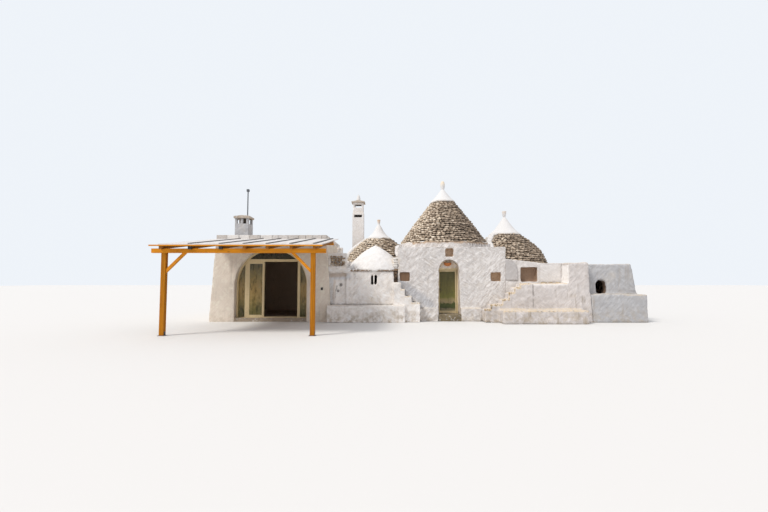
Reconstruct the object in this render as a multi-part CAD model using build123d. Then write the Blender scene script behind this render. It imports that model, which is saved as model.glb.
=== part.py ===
from build123d import *
import math
import os

# A trullo house: a vaulted hall with a flat roof on the left, three dry-stone cones over round rooms,
# a small plastered cell, a stair and terrace on the right, and a timber pergola before the hall.
# Frame: millimetres, +X to the right along the front, +Y into the house, +Z up.
# The origin is on the underside of the doorway stone, in the plane of the main front wall.

# General clearances and small sizes
GAP = 6.0                   # clear gap round a moving leaf
SEAT = 0.3                  # running gap of a pin or a roller on its track
PASSAGE_W = 800.0           # inner passages between the rooms
PASSAGE_H = 1950.0
FLOOR_T = 150.0             # hall floor
FLOOR_STEP = 20.0           # main room floor, below its doorway stone
ROOF_T = 250.0              # flat roof slabs
ROOM_SHARE = 0.8            # where the walls of a round room are split, as a share of its radius

# Main block with its round room
MAIN_X0 = -2230.0
MAIN_X1 = 2450.0
MAIN_DEPTH = 4800.0
MAIN_H = 3200.0
MAIN_CX = 95.0
MAIN_CY = 2400.0
MAIN_ROOM_R = 1650.0

# Main doorway: tapered niche with a round head, and a straight opening behind it
DOOR_CX = -10.0
DOOR_W_FOOT = 980.0
DOOR_W_HEAD = 890.0
DOOR_SPRING = 2215.0
DOOR_NICHE_DEPTH = 400.0
STONE_H = 300.0             # doorway stone
STONE_LAP = 150.0           # how far it stands out before the wall
DOOR_HEAD_Z = 2290.0
FRAME_T = 40.0              # door frame jamb
FRAME_HEAD = 70.0
FRAME_D = 110.0
LEAF_T = 42.0
LEAF_STILE = 55.0
LEAF_RAIL = 70.0
LEAF_FOOT_RAIL = 100.0
GLASS_T = 10.0
PIN_R = 6.0
KNUCKLE_R = 11.0
KNUCKLE_H = 70.0
HINGE_STRAP = 35.0
HINGE_SHARES = (0.12, 0.5, 0.88)
DOOR_REST_DEG = 6.0         # the leaf stands a little open

# Small niches in the main front wall
TOP_NICHE_CX = 15.0
TOP_NICHE_W = 350.0
TOP_NICHE_Z0 = 2780.0
TOP_NICHE_Z1 = 3150.0
SIDE_NICHE_W = 450.0
SIDE_NICHE_Z0 = 1710.0
SIDE_NICHE_Z1 = 2110.0
SHUTTER_CX = -1935.0
NICHE_CX = 2015.0
NICHE_DEPTH = 250.0
SHUTTER_T = 30.0
SHUTTER_SETBACK = 60.0
PLINTH_D = 170.0            # rough base course beside the doorway
PLINTH_H = 560.0

# Wall lamp over the door
LAMP_R = 175.0
LAMP_T = 15.0
LAMP_H = 150.0
LAMP_CX = -10.0
LAMP_Z = 2380.0

# Stone cones: radii and heights of base and top, courses, sides, and how far each swells out
# at half height, as a share of its base radius
MAIN_DRUM_R = 2260.0
MAIN_DRUM_H = 270.0
MAIN_CONE_R = 2160.0
MAIN_CONE_TOP_R = 530.0
MAIN_CONE_H = 2180.0
MAIN_COURSES = 22
MAIN_LOWER_COURSES = 8      # the cone is laid in two lifts, the lower one with this many courses
MAIN_SIDES = 28
MAIN_BULGE = 0.015
CORBEL_SIDES = 20
CORBEL_POWER = 0.85         # how fast the vault inside a cone closes

LEFT_CX = -3110.0
LEFT_CY = 3100.0
LEFT_ROOM_R = 950.0
LEFT_CONE_R = 1780.0
LEFT_CONE_TOP_R = 550.0
LEFT_CONE_H = 1250.0
LEFT_COURSES = 13
LEFT_SIDES = 24
LEFT_BULGE = 0.10
LEFT_BLOCK_H = 2640.0
LEFT_BLOCK_Y0 = 1300.0
LEFT_BLOCK_Y1 = 4900.0

RIGHT_CX = 3670.0
RIGHT_CY = 4100.0
RIGHT_ROOM_R = 1600.0
RIGHT_CONE_R = 2150.0
RIGHT_CONE_TOP_R = 700.0
RIGHT_CONE_H = 1720.0
RIGHT_COURSES = 16
RIGHT_SIDES = 26
RIGHT_BULGE = 0.14

# White caps: cone, neck and top piece
MAIN_CAP_H = 620.0
MAIN_NECK_R = 80.0
MAIN_BOWL_R = 115.0
MAIN_BOWL_H = 200.0
MAIN_BALL_H = 250.0
LEFT_CAP_H = 740.0
LEFT_NECK_R = 50.0
LEFT_CUP_R = 85.0
LEFT_CUP_H = 240.0
RIGHT_CAP_H = 930.0
RIGHT_NECK_R = 65.0
RIGHT_CUP_R = 118.0
RIGHT_CUP_H = 330.0
CAP_LIP = 50.0              # how far a cap laps over the last course
CAP_WAIST = 0.47            # a cap's radius at half height, as a share of its two ends together
BALL_STEPS = ((0.98, 0.35), (0.70, 0.85))   # the ball's outline: share of its radius, share of its height

# Hall with its wide arch
HALL_X0 = -10280.0
HALL_X1 = -5100.0
HALL_LEAN_LEFT = 250.0
HALL_LEAN_RIGHT = 210.0
HALL_Y0 = -300.0
HALL_DEPTH = 5000.0
HALL_WALL = 500.0
HALL_SIDE_WALL = 560.0
HALL_WALL_H = 3300.0
HALL_ROOF_T = 200.0
HALL_PARAPET_H = 210.0
HALL_PARAPET_T = 300.0
ARCH_CX = -7670.0
ARCH_R = 1540.0
ARCH_CROWN = 170.0          # wall left over the arch

# Garden door in the arch
GARDEN_SETBACK = 250.0
GARDEN_FRAME_T = 70.0
GARDEN_LEFT_MULLION = -8800.0
GARDEN_MULLION_W = 110.0
GARDEN_RIGHT_MULLION = -6525.0
GARDEN_TRANSOM_RISE = 970.0   # transom over the arch's springing
GARDEN_TRANSOM_H = 110.0
GARDEN_LEAVES = 3
GARDEN_LEAF_T = 36.0
GARDEN_STILE = 85.0
GARDEN_RAIL = 90.0
SILL_H = 30.0
TRACK_W = 8.0
TRACK_H = 6.0
ROLLER_L = 60.0

# Chimney of the hall and aerial mast
HALL_CHIMNEY_CX = -9110.0
HALL_CHIMNEY_CY = 400.0
HALL_CHIMNEY_W = 600.0
HALL_CHIMNEY_BODY = 750.0
HALL_CHIMNEY_PIER = 100.0
HALL_CHIMNEY_OPEN = 240.0
HALL_SLAB_T = 130.0
HALL_SLAB_EDGE = 95.0
HALL_SLAB_LAP = 50.0
MAST_CX = -9300.0
MAST_CY = 1400.0
MAST_R = 25.0
MAST_H = 2570.0
MAST_BOX = 110.0

# Parapet wall between the hall and the cell
LINK_Y0 = -150.0
LINK_X1 = -4460.0
LINK_H = 2930.0
LINK_WALL = 450.0
LINK_LIP_Z0 = 2080.0
LINK_LIP_H = 330.0
LINK_LIP = 120.0
VENT_W = 240.0
VENT_H = 250.0
VENT_SIDE = 185.0
VENT_SETBACK = 100.0
VENT_SLOT_D = 60.0
VENT_SLOT_EDGE = 40.0

# Plastered cell before the left cone
CELL_Y0 = -200.0
CELL_X1 = -2430.0
CELL_WALL = 380.0
CELL_H = 2150.0
CORNICE_T = 40.0
CORNICE_LAP = 45.0
CELL_CX = -3240.0
CELL_CY = 1030.0
CELL_ROOF_R = 1270.0
CELL_ROOF_H = 1115.0
CELL_SHELL = 190.0
CELL_WAIST = (0.62, 0.52)   # the roof's outline half way up: share of its radius, share of its height
CELL_CROWN = 1.2            # the crown's thickness, in shells
NOOK_Y = 150.0              # rubble filling between the cell and the main block
NOOK_H = 2750.0
SLOT_CX = -3275.0
SLOT_W = 250.0
SLOT_BAR = 50.0
SLOT_Z0 = 1570.0
SLOT_Z1 = 1980.0

# Bench and stair on the left
BENCH_X0 = -5220.0
BENCH_X1 = -1950.0
BENCH_Y0 = -660.0
BENCH_H = 700.0
STAIR_TOPS = (1650.0, 1380.0, 1090.0, 820.0)
STAIR_EDGES = (-2130.0, -1960.0, -1680.0, -1310.0)
STAIR_D = 320.0             # how far the stair stands out before the cell

# Tall chimney
TALL_CX = -4215.0
TALL_CY = 3990.0
TALL_W = 600.0
TALL_SHAFT_TOP = 5330.0
TALL_HEAD_H = 560.0
TALL_HEAD_W = 540.0
TALL_FLUE = 260.0
TALL_SLOT_DROP = 220.0      # soot slot, down from the shaft's top
TALL_SLOT_H = 110.0
TALL_SLOT_W = 390.0
TALL_OPEN_DROP = 270.0      # lantern opening, down from the head's top
TALL_OPEN_H = 170.0
TALL_OPEN_W = 380.0
TALL_SLAB_T = 120.0
TALL_SLAB_EDGE = 55.0
TALL_SLAB_LAP = 55.0
TALL_FINIAL_H = 410.0
TALL_FINIAL_R = 85.0
TALL_FINIAL_TIP = 30.0

# Right wing: terrace, stair, upper wall, pillar
WING_Y0 = -650.0
WING_H = 2500.0
WING_LEFT_H = 2690.0        # the upper wall rises to the main block
WING_RISE_X = 4030.0
WING_WALL = 500.0
WING_X1 = 6150.0
WING_BACK = 6550.0
TERRACE_X0 = 2850.0
TERRACE_X1 = 4870.0
TERRACE_H = 1620.0
WING_STAIR_X0 = 1350.0
WING_STAIR_TOPS = (550.0, 745.0, 960.0, 1240.0, 1460.0)
WING_STAIR_EDGES = (1610.0, 2080.0, 2370.0, 2600.0, 2850.0)
PILLAR_X1 = 5720.0
PILLAR_FOOT_X1 = 5870.0
PILLAR_H = 2500.0
WALL_NICHE_X0 = 3100.0
WALL_NICHE_W = 730.0
WALL_NICHE_Z0 = 1690.0
WALL_NICHE_Z1 = 2330.0
PANEL_CX = 2490.0
PANEL_W = 920.0
PANEL_Z0 = 1770.0
PANEL_T = 30.0
PANEL_H = 400.0
WING_SIDE_WALL = 400.0
WING_LAP = 500.0            # how far the room walls reach behind the main block
WING_WAY_Y = 2700.0         # passage from the main room
END_WAY_Y = 1400.0          # passage to the end room

# End room with its ledge, and the bench on the right
END_Y0 = -300.0
END_TOP_X1 = 7730.0
END_FOOT_X1 = 8150.0
END_DEPTH = 2900.0
END_H = 2450.0
END_WALL = 400.0
END_WINDOW_CX = 6435.0
END_WINDOW_W = 470.0
END_WINDOW_Z0 = 1175.0
END_WINDOW_Z1 = 1770.0
LEDGE_X1 = 8170.0
LEDGE_Y0 = -650.0
LEDGE_H = 1160.0
SEAT_X0 = 1940.0
SEAT_X1 = 5410.0
SEAT_Y0 = -1300.0
SEAT_H = 550.0

# Pergola
PERGOLA_Y0 = -4600.0
POST_W = 145.0
POST_LEFT = -9910.0
POST_RIGHT = -5120.0
BEAM_X0 = -10310.0
BEAM_X1 = -4710.0
BEAM_Z0 = 2640.0
BEAM_H = 140.0
BRACE_LEG = 640.0
BRACE_T = 120.0
BRACE_W = 90.0
RAFTER_XS = (-9960.0, -9030.0, -8050.0, -7290.0, -6560.0, -5800.0, -5055.0)
RAFTER_W = 95.0
RAFTER_H = 150.0
RAFTER_TAIL = 120.0
LEDGER_LIFT = 56.0          # top of the wall plate over the hall's wall
LEDGER_T = 100.0
LEDGER_H = 95.0
LEDGER_X0 = -10230.0
LEDGER_X1 = -4990.0
SHEET_T = 30.0
SHEET_LAP_LEFT = 10.0
SHEET_LAP_RIGHT = 210.0
BATTEN_T = 35.0             # front batten under the sheet's edge
BATTEN_H = 40.0
BATTEN_END = 300.0          # how far it runs out past the sheet on the left

# Worked-out places
CONE_Z = MAIN_H + MAIN_DRUM_H
ARCH_SPRING = HALL_WALL_H - ARCH_CROWN - ARCH_R
GARDEN_TRANSOM_Z = ARCH_SPRING + GARDEN_TRANSOM_RISE
TALL_HEAD_TOP = TALL_SHAFT_TOP + TALL_HEAD_H
LEDGER_TOP = HALL_WALL_H + LEDGER_LIFT
HALL_Y1 = HALL_Y0 + HALL_DEPTH
HALL_TOP = HALL_WALL_H + HALL_ROOF_T + HALL_PARAPET_H
PASSAGE_Z1 = FLOOR_T + PASSAGE_H
CELL_TOP = CELL_H + CORNICE_T
END_START = PILLAR_X1


def block(x0, x1, y0, y1, z0, z1):
    """An upright box between two corners."""
    size = Box(x1 - x0, y1 - y0, z1 - z0)
    return Pos((x0 + x1) / 2, (y0 + y1) / 2, (z0 + z1) / 2) * size


def front_prism(points, y0, y1):
    """An outline in X and Z, run from y0 back to y1."""
    outline = make_face(Polyline(*points, close=True))
    return extrude(Plane.XZ.offset(-y1) * outline, y1 - y0, dir=(0, -1, 0))


def side_prism(points, x0, x1):
    """An outline in Y and Z, run from x0 to x1."""
    outline = make_face(Polyline(*points, close=True))
    return extrude(Plane.YZ.offset(x0) * outline, x1 - x0, dir=(1, 0, 0))


def pillar_of(cx, cy, radius, z0, z1):
    """An upright round post."""
    return Pos(cx, cy, (z0 + z1) / 2) * Cylinder(radius, z1 - z0)


def many_sided(cx, cy, radius, sides, z0, z1, turn=0.0):
    """One course: a flat prism of many sides."""
    outline = Pos(cx, cy, z0) * RegularPolygon(radius, sides, rotation=turn)
    return extrude(outline, z1 - z0, dir=(0, 0, 1))


def tapered_front(cx, foot_w, head_w, z0, spring, y0, y1):
    """A cutter for a round-headed opening that narrows from its foot to its springing."""
    foot = foot_w / 2
    head = head_w / 2
    sill = Line((cx - foot, z0), (cx + foot, z0))
    right = Line((cx + foot, z0), (cx + head, spring))
    crown = ThreePointArc((cx + head, spring), (cx, spring + head), (cx - head, spring))
    left = Line((cx - head, spring), (cx - foot, z0))
    outline = make_face([sill, right, crown, left])
    return extrude(Plane.XZ.offset(-y1) * outline, y1 - y0, dir=(0, -1, 0))


def arched_front(cx, width, z0, spring, y0, y1):
    """A cutter for a round-headed opening through a wall that faces the front."""
    return tapered_front(cx, width, width, z0, spring, y0, y1)


def save(node, *solids):
    """Write one node's solids to its file."""
    found = []
    for solid in solids:
        found.extend(solid.solids())
    whole = Compound(children=found) if len(found) > 1 else found[0]
    export_step(whole, os.path.join("parts", node + ".step"))


def hall_mass(z0, z1):
    """The hall's battered outline between two heights."""
    share0 = z0 / HALL_TOP
    share1 = z1 / HALL_TOP
    points = [
        (HALL_X0 + HALL_LEAN_LEFT * share0, z0),
        (HALL_X1 - HALL_LEAN_RIGHT * share0, z0),
        (HALL_X1 - HALL_LEAN_RIGHT * share1, z1),
        (HALL_X0 + HALL_LEAN_LEFT * share1, z1),
    ]
    return front_prism(points, HALL_Y0, HALL_Y1)


def hall_band(y0, y1, z0, z1):
    """A slice of the hall's outline."""
    return hall_mass(z0, z1) & block(HALL_X0, HALL_X1, y0, y1, z0, z1)


def hall_inner():
    """The hall's clear inside, floor to roof slab."""
    x0 = HALL_X0 + HALL_LEAN_LEFT + HALL_SIDE_WALL
    x1 = HALL_X1 - HALL_LEAN_RIGHT - HALL_SIDE_WALL
    return x0, x1, HALL_Y0 + HALL_WALL, HALL_Y1 - HALL_WALL


def make_hall():
    """Walls, roof slab and parapet of the hall."""
    x0, x1, y0, y1 = hall_inner()
    arch_x0 = ARCH_CX - ARCH_R
    arch_x1 = ARCH_CX + ARCH_R
    front = hall_band(HALL_Y0, y0, 0, ARCH_SPRING)
    opening = block(arch_x0, arch_x1, HALL_Y0, y0, 0, ARCH_SPRING)
    save("hall_front_piers", front - opening)
    over = hall_band(HALL_Y0, y0, ARCH_SPRING, HALL_WALL_H)
    save("hall_front_arch", over - arched_front(ARCH_CX, 2 * ARCH_R, 0, ARCH_SPRING, HALL_Y0 - 1, y0 + 1))
    sides = hall_band(y0, y1, 0, HALL_WALL_H) - block(x0, x1, y0, y1, 0, HALL_WALL_H)
    way_y = LEFT_CY
    way = block(x1, HALL_X1, way_y - PASSAGE_W / 2, way_y + PASSAGE_W / 2, 0, PASSAGE_Z1)
    save("hall_side_walls", sides - way)
    save("hall_back_wall", hall_band(y1, HALL_Y1, 0, HALL_WALL_H))
    roof_top = HALL_WALL_H + HALL_ROOF_T
    save("hall_roof", hall_mass(HALL_WALL_H, roof_top))
    rim = HALL_PARAPET_T
    kerb = hall_mass(roof_top, HALL_TOP)
    inside = block(HALL_X0 + HALL_LEAN_LEFT + rim, HALL_X1 - HALL_LEAN_RIGHT - rim,
                   HALL_Y0 + rim, HALL_Y1 - rim, roof_top, HALL_TOP)
    save("hall_parapet", kerb - inside)


def make_hall_chimney():
    """Squat chimney with piers, smoke openings and a stone slab; aerial mast beside it."""
    half = HALL_CHIMNEY_W / 2
    z0 = HALL_WALL_H + HALL_ROOF_T
    z1 = z0 + HALL_CHIMNEY_BODY
    z2 = z1 + HALL_CHIMNEY_OPEN
    cx = HALL_CHIMNEY_CX
    cy = HALL_CHIMNEY_CY
    shaft = block(cx - half, cx + half, cy - half, cy + half, z0, z2)
    pier = HALL_CHIMNEY_PIER
    flue = half - pier
    shaft -= block(cx - flue, cx + flue, cy - flue, cy + flue, z0, z2)
    bay = (HALL_CHIMNEY_W - 3 * pier) / 2
    for k in range(2):
        left = cx - half + pier + k * (bay + pier)
        shaft -= block(left, left + bay, cy - half, cy + half, z1, z2)
    shaft -= block(cx - half, cx + half, cy - half + pier, cy + half - pier, z1, z2)
    save("hall_chimney", shaft)
    reach = half + HALL_SLAB_LAP
    slab_top = z2 + HALL_SLAB_T
    edge = z2 + HALL_SLAB_EDGE
    points = [(cx - reach, z2), (cx + reach, z2), (cx + reach, edge), (cx, slab_top), (cx - reach, edge)]
    save("hall_chimney_slab", front_prism(points, cy - reach, cy + reach))
    mast_top = z0 + MAST_H
    mast = pillar_of(MAST_CX, MAST_CY, MAST_R, z0, mast_top)
    head = MAST_BOX / 2
    mast += block(MAST_CX - head, MAST_CX + head, MAST_CY - head, MAST_CY + head,
                  mast_top - MAST_BOX, mast_top)
    save("aerial_mast", mast)


def make_garden_door():
    """Arched frame with mullions, fixed leaf and panes, and two sliding leaves on their tracks."""
    y0 = HALL_Y0 + GARDEN_SETBACK
    pitch = GARDEN_LEAF_T + GAP
    depth = GARDEN_LEAVES * pitch + GAP
    y1 = y0 + depth
    z0 = FLOOR_T
    half = GARDEN_MULLION_W / 2
    ml0 = GARDEN_LEFT_MULLION - half
    ml1 = GARDEN_LEFT_MULLION + half
    mr0 = GARDEN_RIGHT_MULLION - half
    mr1 = GARDEN_RIGHT_MULLION + half
    whole = arched_front(ARCH_CX, 2 * ARCH_R, z0, ARCH_SPRING, y0, y1)
    inner = arched_front(ARCH_CX, 2 * (ARCH_R - GARDEN_FRAME_T), z0 + SILL_H, ARCH_SPRING, y0, y1)
    top = ARCH_SPRING + ARCH_R
    tz0 = GARDEN_TRANSOM_Z
    tz1 = tz0 + GARDEN_TRANSOM_H
    bars = block(ml0, ml1, y0, y1, z0, top) + block(mr0, mr1, y0, y1, z0, top)
    bars += block(ml0, mr1, y0, y1, tz0, tz1)
    frame = (whole - inner) + (bars & whole)
    clear = mr0 - ml1
    leaf_w = clear / GARDEN_LEAVES
    leaf_z0 = z0 + SILL_H + TRACK_H + GAP
    leaf_z1 = tz0 - GAP
    for k in range(1, GARDEN_LEAVES):
        track_y = y0 + GAP + k * pitch + GARDEN_LEAF_T / 2
        frame += block(ml1, mr0, track_y - TRACK_W / 2, track_y + TRACK_W / 2,
                       z0 + SILL_H, z0 + SILL_H + TRACK_H)
    fixed_x1 = ml1 + leaf_w
    fixed_y0 = y0 + GAP
    fixed_y1 = fixed_y0 + GARDEN_LEAF_T
    fixed = block(ml1, fixed_x1, fixed_y0, fixed_y1, z0 + SILL_H, tz0)
    hole = block(ml1 + GARDEN_STILE, fixed_x1 - GARDEN_STILE, fixed_y0, fixed_y1,
                 z0 + SILL_H + GARDEN_RAIL, tz0 - GARDEN_RAIL)
    frame += fixed - hole
    save("garden_door_frame", frame)
    mid = (y0 + y1) / 2
    pane = block(ARCH_CX - ARCH_R, ARCH_CX + ARCH_R, mid - GLASS_T / 2, mid + GLASS_T / 2, z0, top) & inner
    lights = pane & block(ARCH_CX - ARCH_R, ml0, y0, y1, z0, top)
    lights += pane & block(mr1, ARCH_CX + ARCH_R, y0, y1, z0, top)
    lights += pane & block(ml1, mr0, y0, y1, tz1, top)
    fixed_mid = (fixed_y0 + fixed_y1) / 2
    lights += block(ml1 + GARDEN_STILE, fixed_x1 - GARDEN_STILE, fixed_mid - GLASS_T / 2, fixed_mid + GLASS_T / 2,
                    z0 + SILL_H + GARDEN_RAIL, tz0 - GARDEN_RAIL)
    save("garden_fixed_glass", lights)
    for k, name in ((1, "middle"), (2, "inner")):
        x0 = ml1 + GAP
        x1 = x0 + leaf_w - 2 * GAP
        ly0 = y0 + GAP + k * pitch
        ly1 = ly0 + GARDEN_LEAF_T
        leaf = block(x0, x1, ly0, ly1, leaf_z0, leaf_z1)
        light_x0 = x0 + GARDEN_STILE
        light_x1 = x1 - GARDEN_STILE
        light_z0 = leaf_z0 + GARDEN_RAIL
        light_z1 = leaf_z1 - GARDEN_RAIL
        leaf -= block(light_x0, light_x1, ly0, ly1, light_z0, light_z1)
        middle = (ly0 + ly1) / 2
        foot_z = z0 + SILL_H + TRACK_H + SEAT
        for end in (x0 + ROLLER_L, x1 - ROLLER_L):
            leaf += block(end - ROLLER_L / 2, end + ROLLER_L / 2, middle - TRACK_W, middle + TRACK_W,
                          foot_z, leaf_z0)
        save("garden_leaf_" + name, leaf)
        save("garden_glass_" + name, block(light_x0, light_x1, middle - GLASS_T / 2, middle + GLASS_T / 2,
                                           light_z0, light_z1))


def make_floors():
    """Built floors inside the rooms."""
    x0, x1, y0, y1 = hall_inner()
    hall = block(x0, x1, y0, y1, 0, FLOOR_T)
    sill = block(ARCH_CX - ARCH_R, ARCH_CX + ARCH_R, HALL_Y0, y0, 0, FLOOR_T)
    main = pillar_of(MAIN_CX, MAIN_CY, MAIN_ROOM_R, 0, STONE_H - FLOOR_STEP)
    return hall + sill, main


def main_mass(z0, z1):
    """The main block between two heights."""
    return block(MAIN_X0, MAIN_X1, 0, MAIN_DEPTH, z0, z1)


def doorway(y0, y1):
    """Cutter for the main doorway: tapered niche in front, straight opening behind."""
    head = DOOR_W_HEAD / 2
    niche = tapered_front(DOOR_CX, DOOR_W_FOOT, DOOR_W_HEAD, 0, DOOR_SPRING, y0, DOOR_NICHE_DEPTH)
    back = block(DOOR_CX - head, DOOR_CX + head, DOOR_NICHE_DEPTH, y1, 0, DOOR_HEAD_Z)
    return niche + back


def make_main_walls():
    """Walls of the main block round its room, split beside and over the doorway."""
    foot = DOOR_W_FOOT / 2
    room = pillar_of(MAIN_CX, MAIN_CY, MAIN_ROOM_R, 0, MAIN_H)
    split_y = MAIN_CY - MAIN_ROOM_R * ROOM_SHARE
    back_y = MAIN_CY + MAIN_ROOM_R * ROOM_SHARE
    way_out = doorway(0, split_y)
    front = block(MAIN_X0, MAIN_X1, 0, split_y, 0, DOOR_SPRING)
    front += block(STAIR_EDGES[-1], DOOR_CX - foot, -PLINTH_D, 0, 0, PLINTH_H)
    front += block(DOOR_CX + foot, WING_STAIR_X0, -PLINTH_D, 0, 0, PLINTH_H)
    front = front - room - way_out
    niche_x = NICHE_CX - SIDE_NICHE_W / 2
    front -= block(niche_x, niche_x + SIDE_NICHE_W, 0, NICHE_DEPTH, SIDE_NICHE_Z0, SIDE_NICHE_Z1)
    shutter_x = SHUTTER_CX - SIDE_NICHE_W / 2
    front -= block(shutter_x, shutter_x + SIDE_NICHE_W, 0, NICHE_DEPTH, SIDE_NICHE_Z0, SIDE_NICHE_Z1)
    save("main_front_piers", front)
    over = block(MAIN_X0, MAIN_X1, 0, split_y, DOOR_SPRING, MAIN_H) - room - way_out
    top_x = TOP_NICHE_W / 2
    over -= block(TOP_NICHE_CX - top_x, TOP_NICHE_CX + top_x, 0, NICHE_DEPTH, TOP_NICHE_Z0, TOP_NICHE_Z1)
    save("main_front_arch", over)
    sides = block(MAIN_X0, MAIN_X1, split_y, back_y, 0, MAIN_H) - room
    for x0, x1 in ((MAIN_X0, MAIN_CX), (MAIN_CX, MAIN_X1)):
        way_y = LEFT_CY if x0 == MAIN_X0 else WING_WAY_Y
        sides -= block(x0, x1, way_y - PASSAGE_W / 2, way_y + PASSAGE_W / 2, 0, PASSAGE_Z1)
    save("main_side_walls", sides)
    save("main_back_wall", block(MAIN_X0, MAIN_X1, back_y, MAIN_DEPTH, 0, MAIN_H) - room)
    shutter_y = SHUTTER_SETBACK
    save("window_shutter", block(shutter_x, shutter_x + SIDE_NICHE_W, shutter_y, shutter_y + SHUTTER_T,
                                 SIDE_NICHE_Z0, SIDE_NICHE_Z1))
    under = block(DOOR_CX - foot, DOOR_CX + foot, -STONE_LAP, split_y, 0, STONE_H)
    stone = doorway(-STONE_LAP, split_y) & under
    save("door_stone", stone - pillar_of(MAIN_CX, MAIN_CY, MAIN_ROOM_R, 0, STONE_H))


def make_main_door():
    """Frame with hinge pins, and the glazed leaf standing a little open."""
    half = DOOR_W_HEAD / 2
    y0 = DOOR_NICHE_DEPTH
    y1 = y0 + FRAME_D
    x0 = DOOR_CX - half
    x1 = DOOR_CX + half
    frame = block(x0, x1, y0, y1, STONE_H, DOOR_HEAD_Z)
    frame -= block(x0 + FRAME_T, x1 - FRAME_T, y0, y1, STONE_H, DOOR_HEAD_Z - FRAME_HEAD)
    leaf_x0 = x0 + FRAME_T + GAP
    leaf_x1 = x1 - FRAME_T - GAP
    leaf_y1 = y1 - GAP
    leaf_y0 = leaf_y1 - LEAF_T
    leaf_z0 = STONE_H + GAP
    leaf_z1 = DOOR_HEAD_Z - FRAME_HEAD - GAP
    axis_x = x1 - FRAME_T - GAP / 2
    axis_y = y1 + KNUCKLE_R
    leaf = block(leaf_x0, leaf_x1, leaf_y0, leaf_y1, leaf_z0, leaf_z1)
    light_x0 = leaf_x0 + LEAF_STILE
    light_x1 = leaf_x1 - LEAF_STILE
    light_z0 = leaf_z0 + LEAF_FOOT_RAIL
    light_z1 = leaf_z1 - LEAF_RAIL
    leaf -= block(light_x0, light_x1, leaf_y0, leaf_y1, light_z0, light_z1)
    mid_y = (leaf_y0 + leaf_y1) / 2
    glass = block(light_x0, light_x1, mid_y - GLASS_T / 2, mid_y + GLASS_T / 2, light_z0, light_z1)
    clear_h = leaf_z1 - leaf_z0
    for share in HINGE_SHARES:
        z = leaf_z0 + clear_h * share
        tube = pillar_of(axis_x, axis_y, KNUCKLE_R, z, z + KNUCKLE_H)
        strap = block(axis_x - KNUCKLE_R - HINGE_STRAP, axis_x, leaf_y1, axis_y, z, z + KNUCKLE_H)
        leaf += tube + strap
        leaf -= pillar_of(axis_x, axis_y, PIN_R + SEAT, z, z + KNUCKLE_H)
        low = z - SEAT - KNUCKLE_H / 2
        post = pillar_of(axis_x, axis_y, KNUCKLE_R, low, z - SEAT)
        post += block(axis_x, axis_x + KNUCKLE_R + HINGE_STRAP / 2, y1, axis_y, low, z - SEAT)
        post += pillar_of(axis_x, axis_y, PIN_R, low, z + KNUCKLE_H)
        frame += post
    turn = Pos(axis_x, axis_y, 0) * Rot(0, 0, -DOOR_REST_DEG) * Pos(-axis_x, -axis_y, 0)
    save("door_frame", frame)
    save("door_leaf", turn * leaf)
    save("door_glass", turn * glass)


def make_lamp():
    """Half-bowl wall lamp, open upwards, on the wall over the door."""
    z1 = LAMP_Z + LAMP_H
    wall_y = DOOR_NICHE_DEPTH
    bowl = Pos(LAMP_CX, wall_y, z1) * (Sphere(LAMP_R) - Sphere(LAMP_R - LAMP_T))
    keep = block(LAMP_CX - LAMP_R, LAMP_CX + LAMP_R, wall_y - LAMP_R, wall_y, LAMP_Z, z1)
    save("wall_lamp", bowl & keep)


def cone_radius(t, r0, r1, bulge):
    """Radius of a stone cone at share t of its height: it swells a little."""
    return r0 + (r1 - r0) * t + bulge * r0 * math.sin(math.pi * t)


def stone_cone(cx, cy, z0, height, r0, r1, bulge, room_r, courses, sides):
    """Corbelled cone: rings of stone, each set back from the one below, hollow inside."""
    step = height / courses
    rings = []
    for k in range(courses):
        radius = cone_radius(k / courses, r0, r1, bulge)
        turn = (k % 2) * 180 / sides
        rings.append(many_sided(cx, cy, radius, sides, z0 + k * step, z0 + (k + 1) * step, turn))
    solid = rings[0].fuse(*rings[1:])
    lifts = courses // 2
    tall = (height - 2 * step) / lifts
    hollow = []
    for k in range(lifts):
        radius = room_r * (1 - k / lifts) ** CORBEL_POWER
        hollow.append(many_sided(cx, cy, radius, CORBEL_SIDES, z0 + k * tall, z0 + (k + 1) * tall))
    void = hollow[0].fuse(*hollow[1:])
    return solid - void


def cap_of(cx, cy, z0, base_r, height, neck_r, cup_r, cup_h, ball_h):
    """Plastered cap: a hollow-sided cone, a neck, a flared cup and, on the main one, a ball."""
    neck_z = z0 + height
    cup_z = neck_z + cup_h
    waist_r = (base_r + neck_r) * CAP_WAIST
    flank = Spline((base_r, z0), (waist_r, z0 + height / 2), (neck_r, neck_z))
    edges = [flank, Line((neck_r, neck_z), (cup_r, cup_z))]
    last = (cup_r, cup_z)
    for share_r, share_h in BALL_STEPS if ball_h else ():
        following = (cup_r * share_r, cup_z + ball_h * share_h)
        edges.append(Line(last, following))
        last = following
    top = cup_z + ball_h
    edges.append(Line(last, (0, top)))
    edges.append(Line((0, top), (0, z0)))
    edges.append(Line((0, z0), (base_r, z0)))
    outline = Plane.XZ * make_face(edges)
    return Pos(cx, cy, 0) * revolve(outline, Axis.Z)


def tall_chimney_box(z0, z1, width):
    """The tall chimney's square outline between two heights."""
    half = width / 2
    return block(TALL_CX - half, TALL_CX + half, TALL_CY - half, TALL_CY + half, z0, z1)


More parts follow.
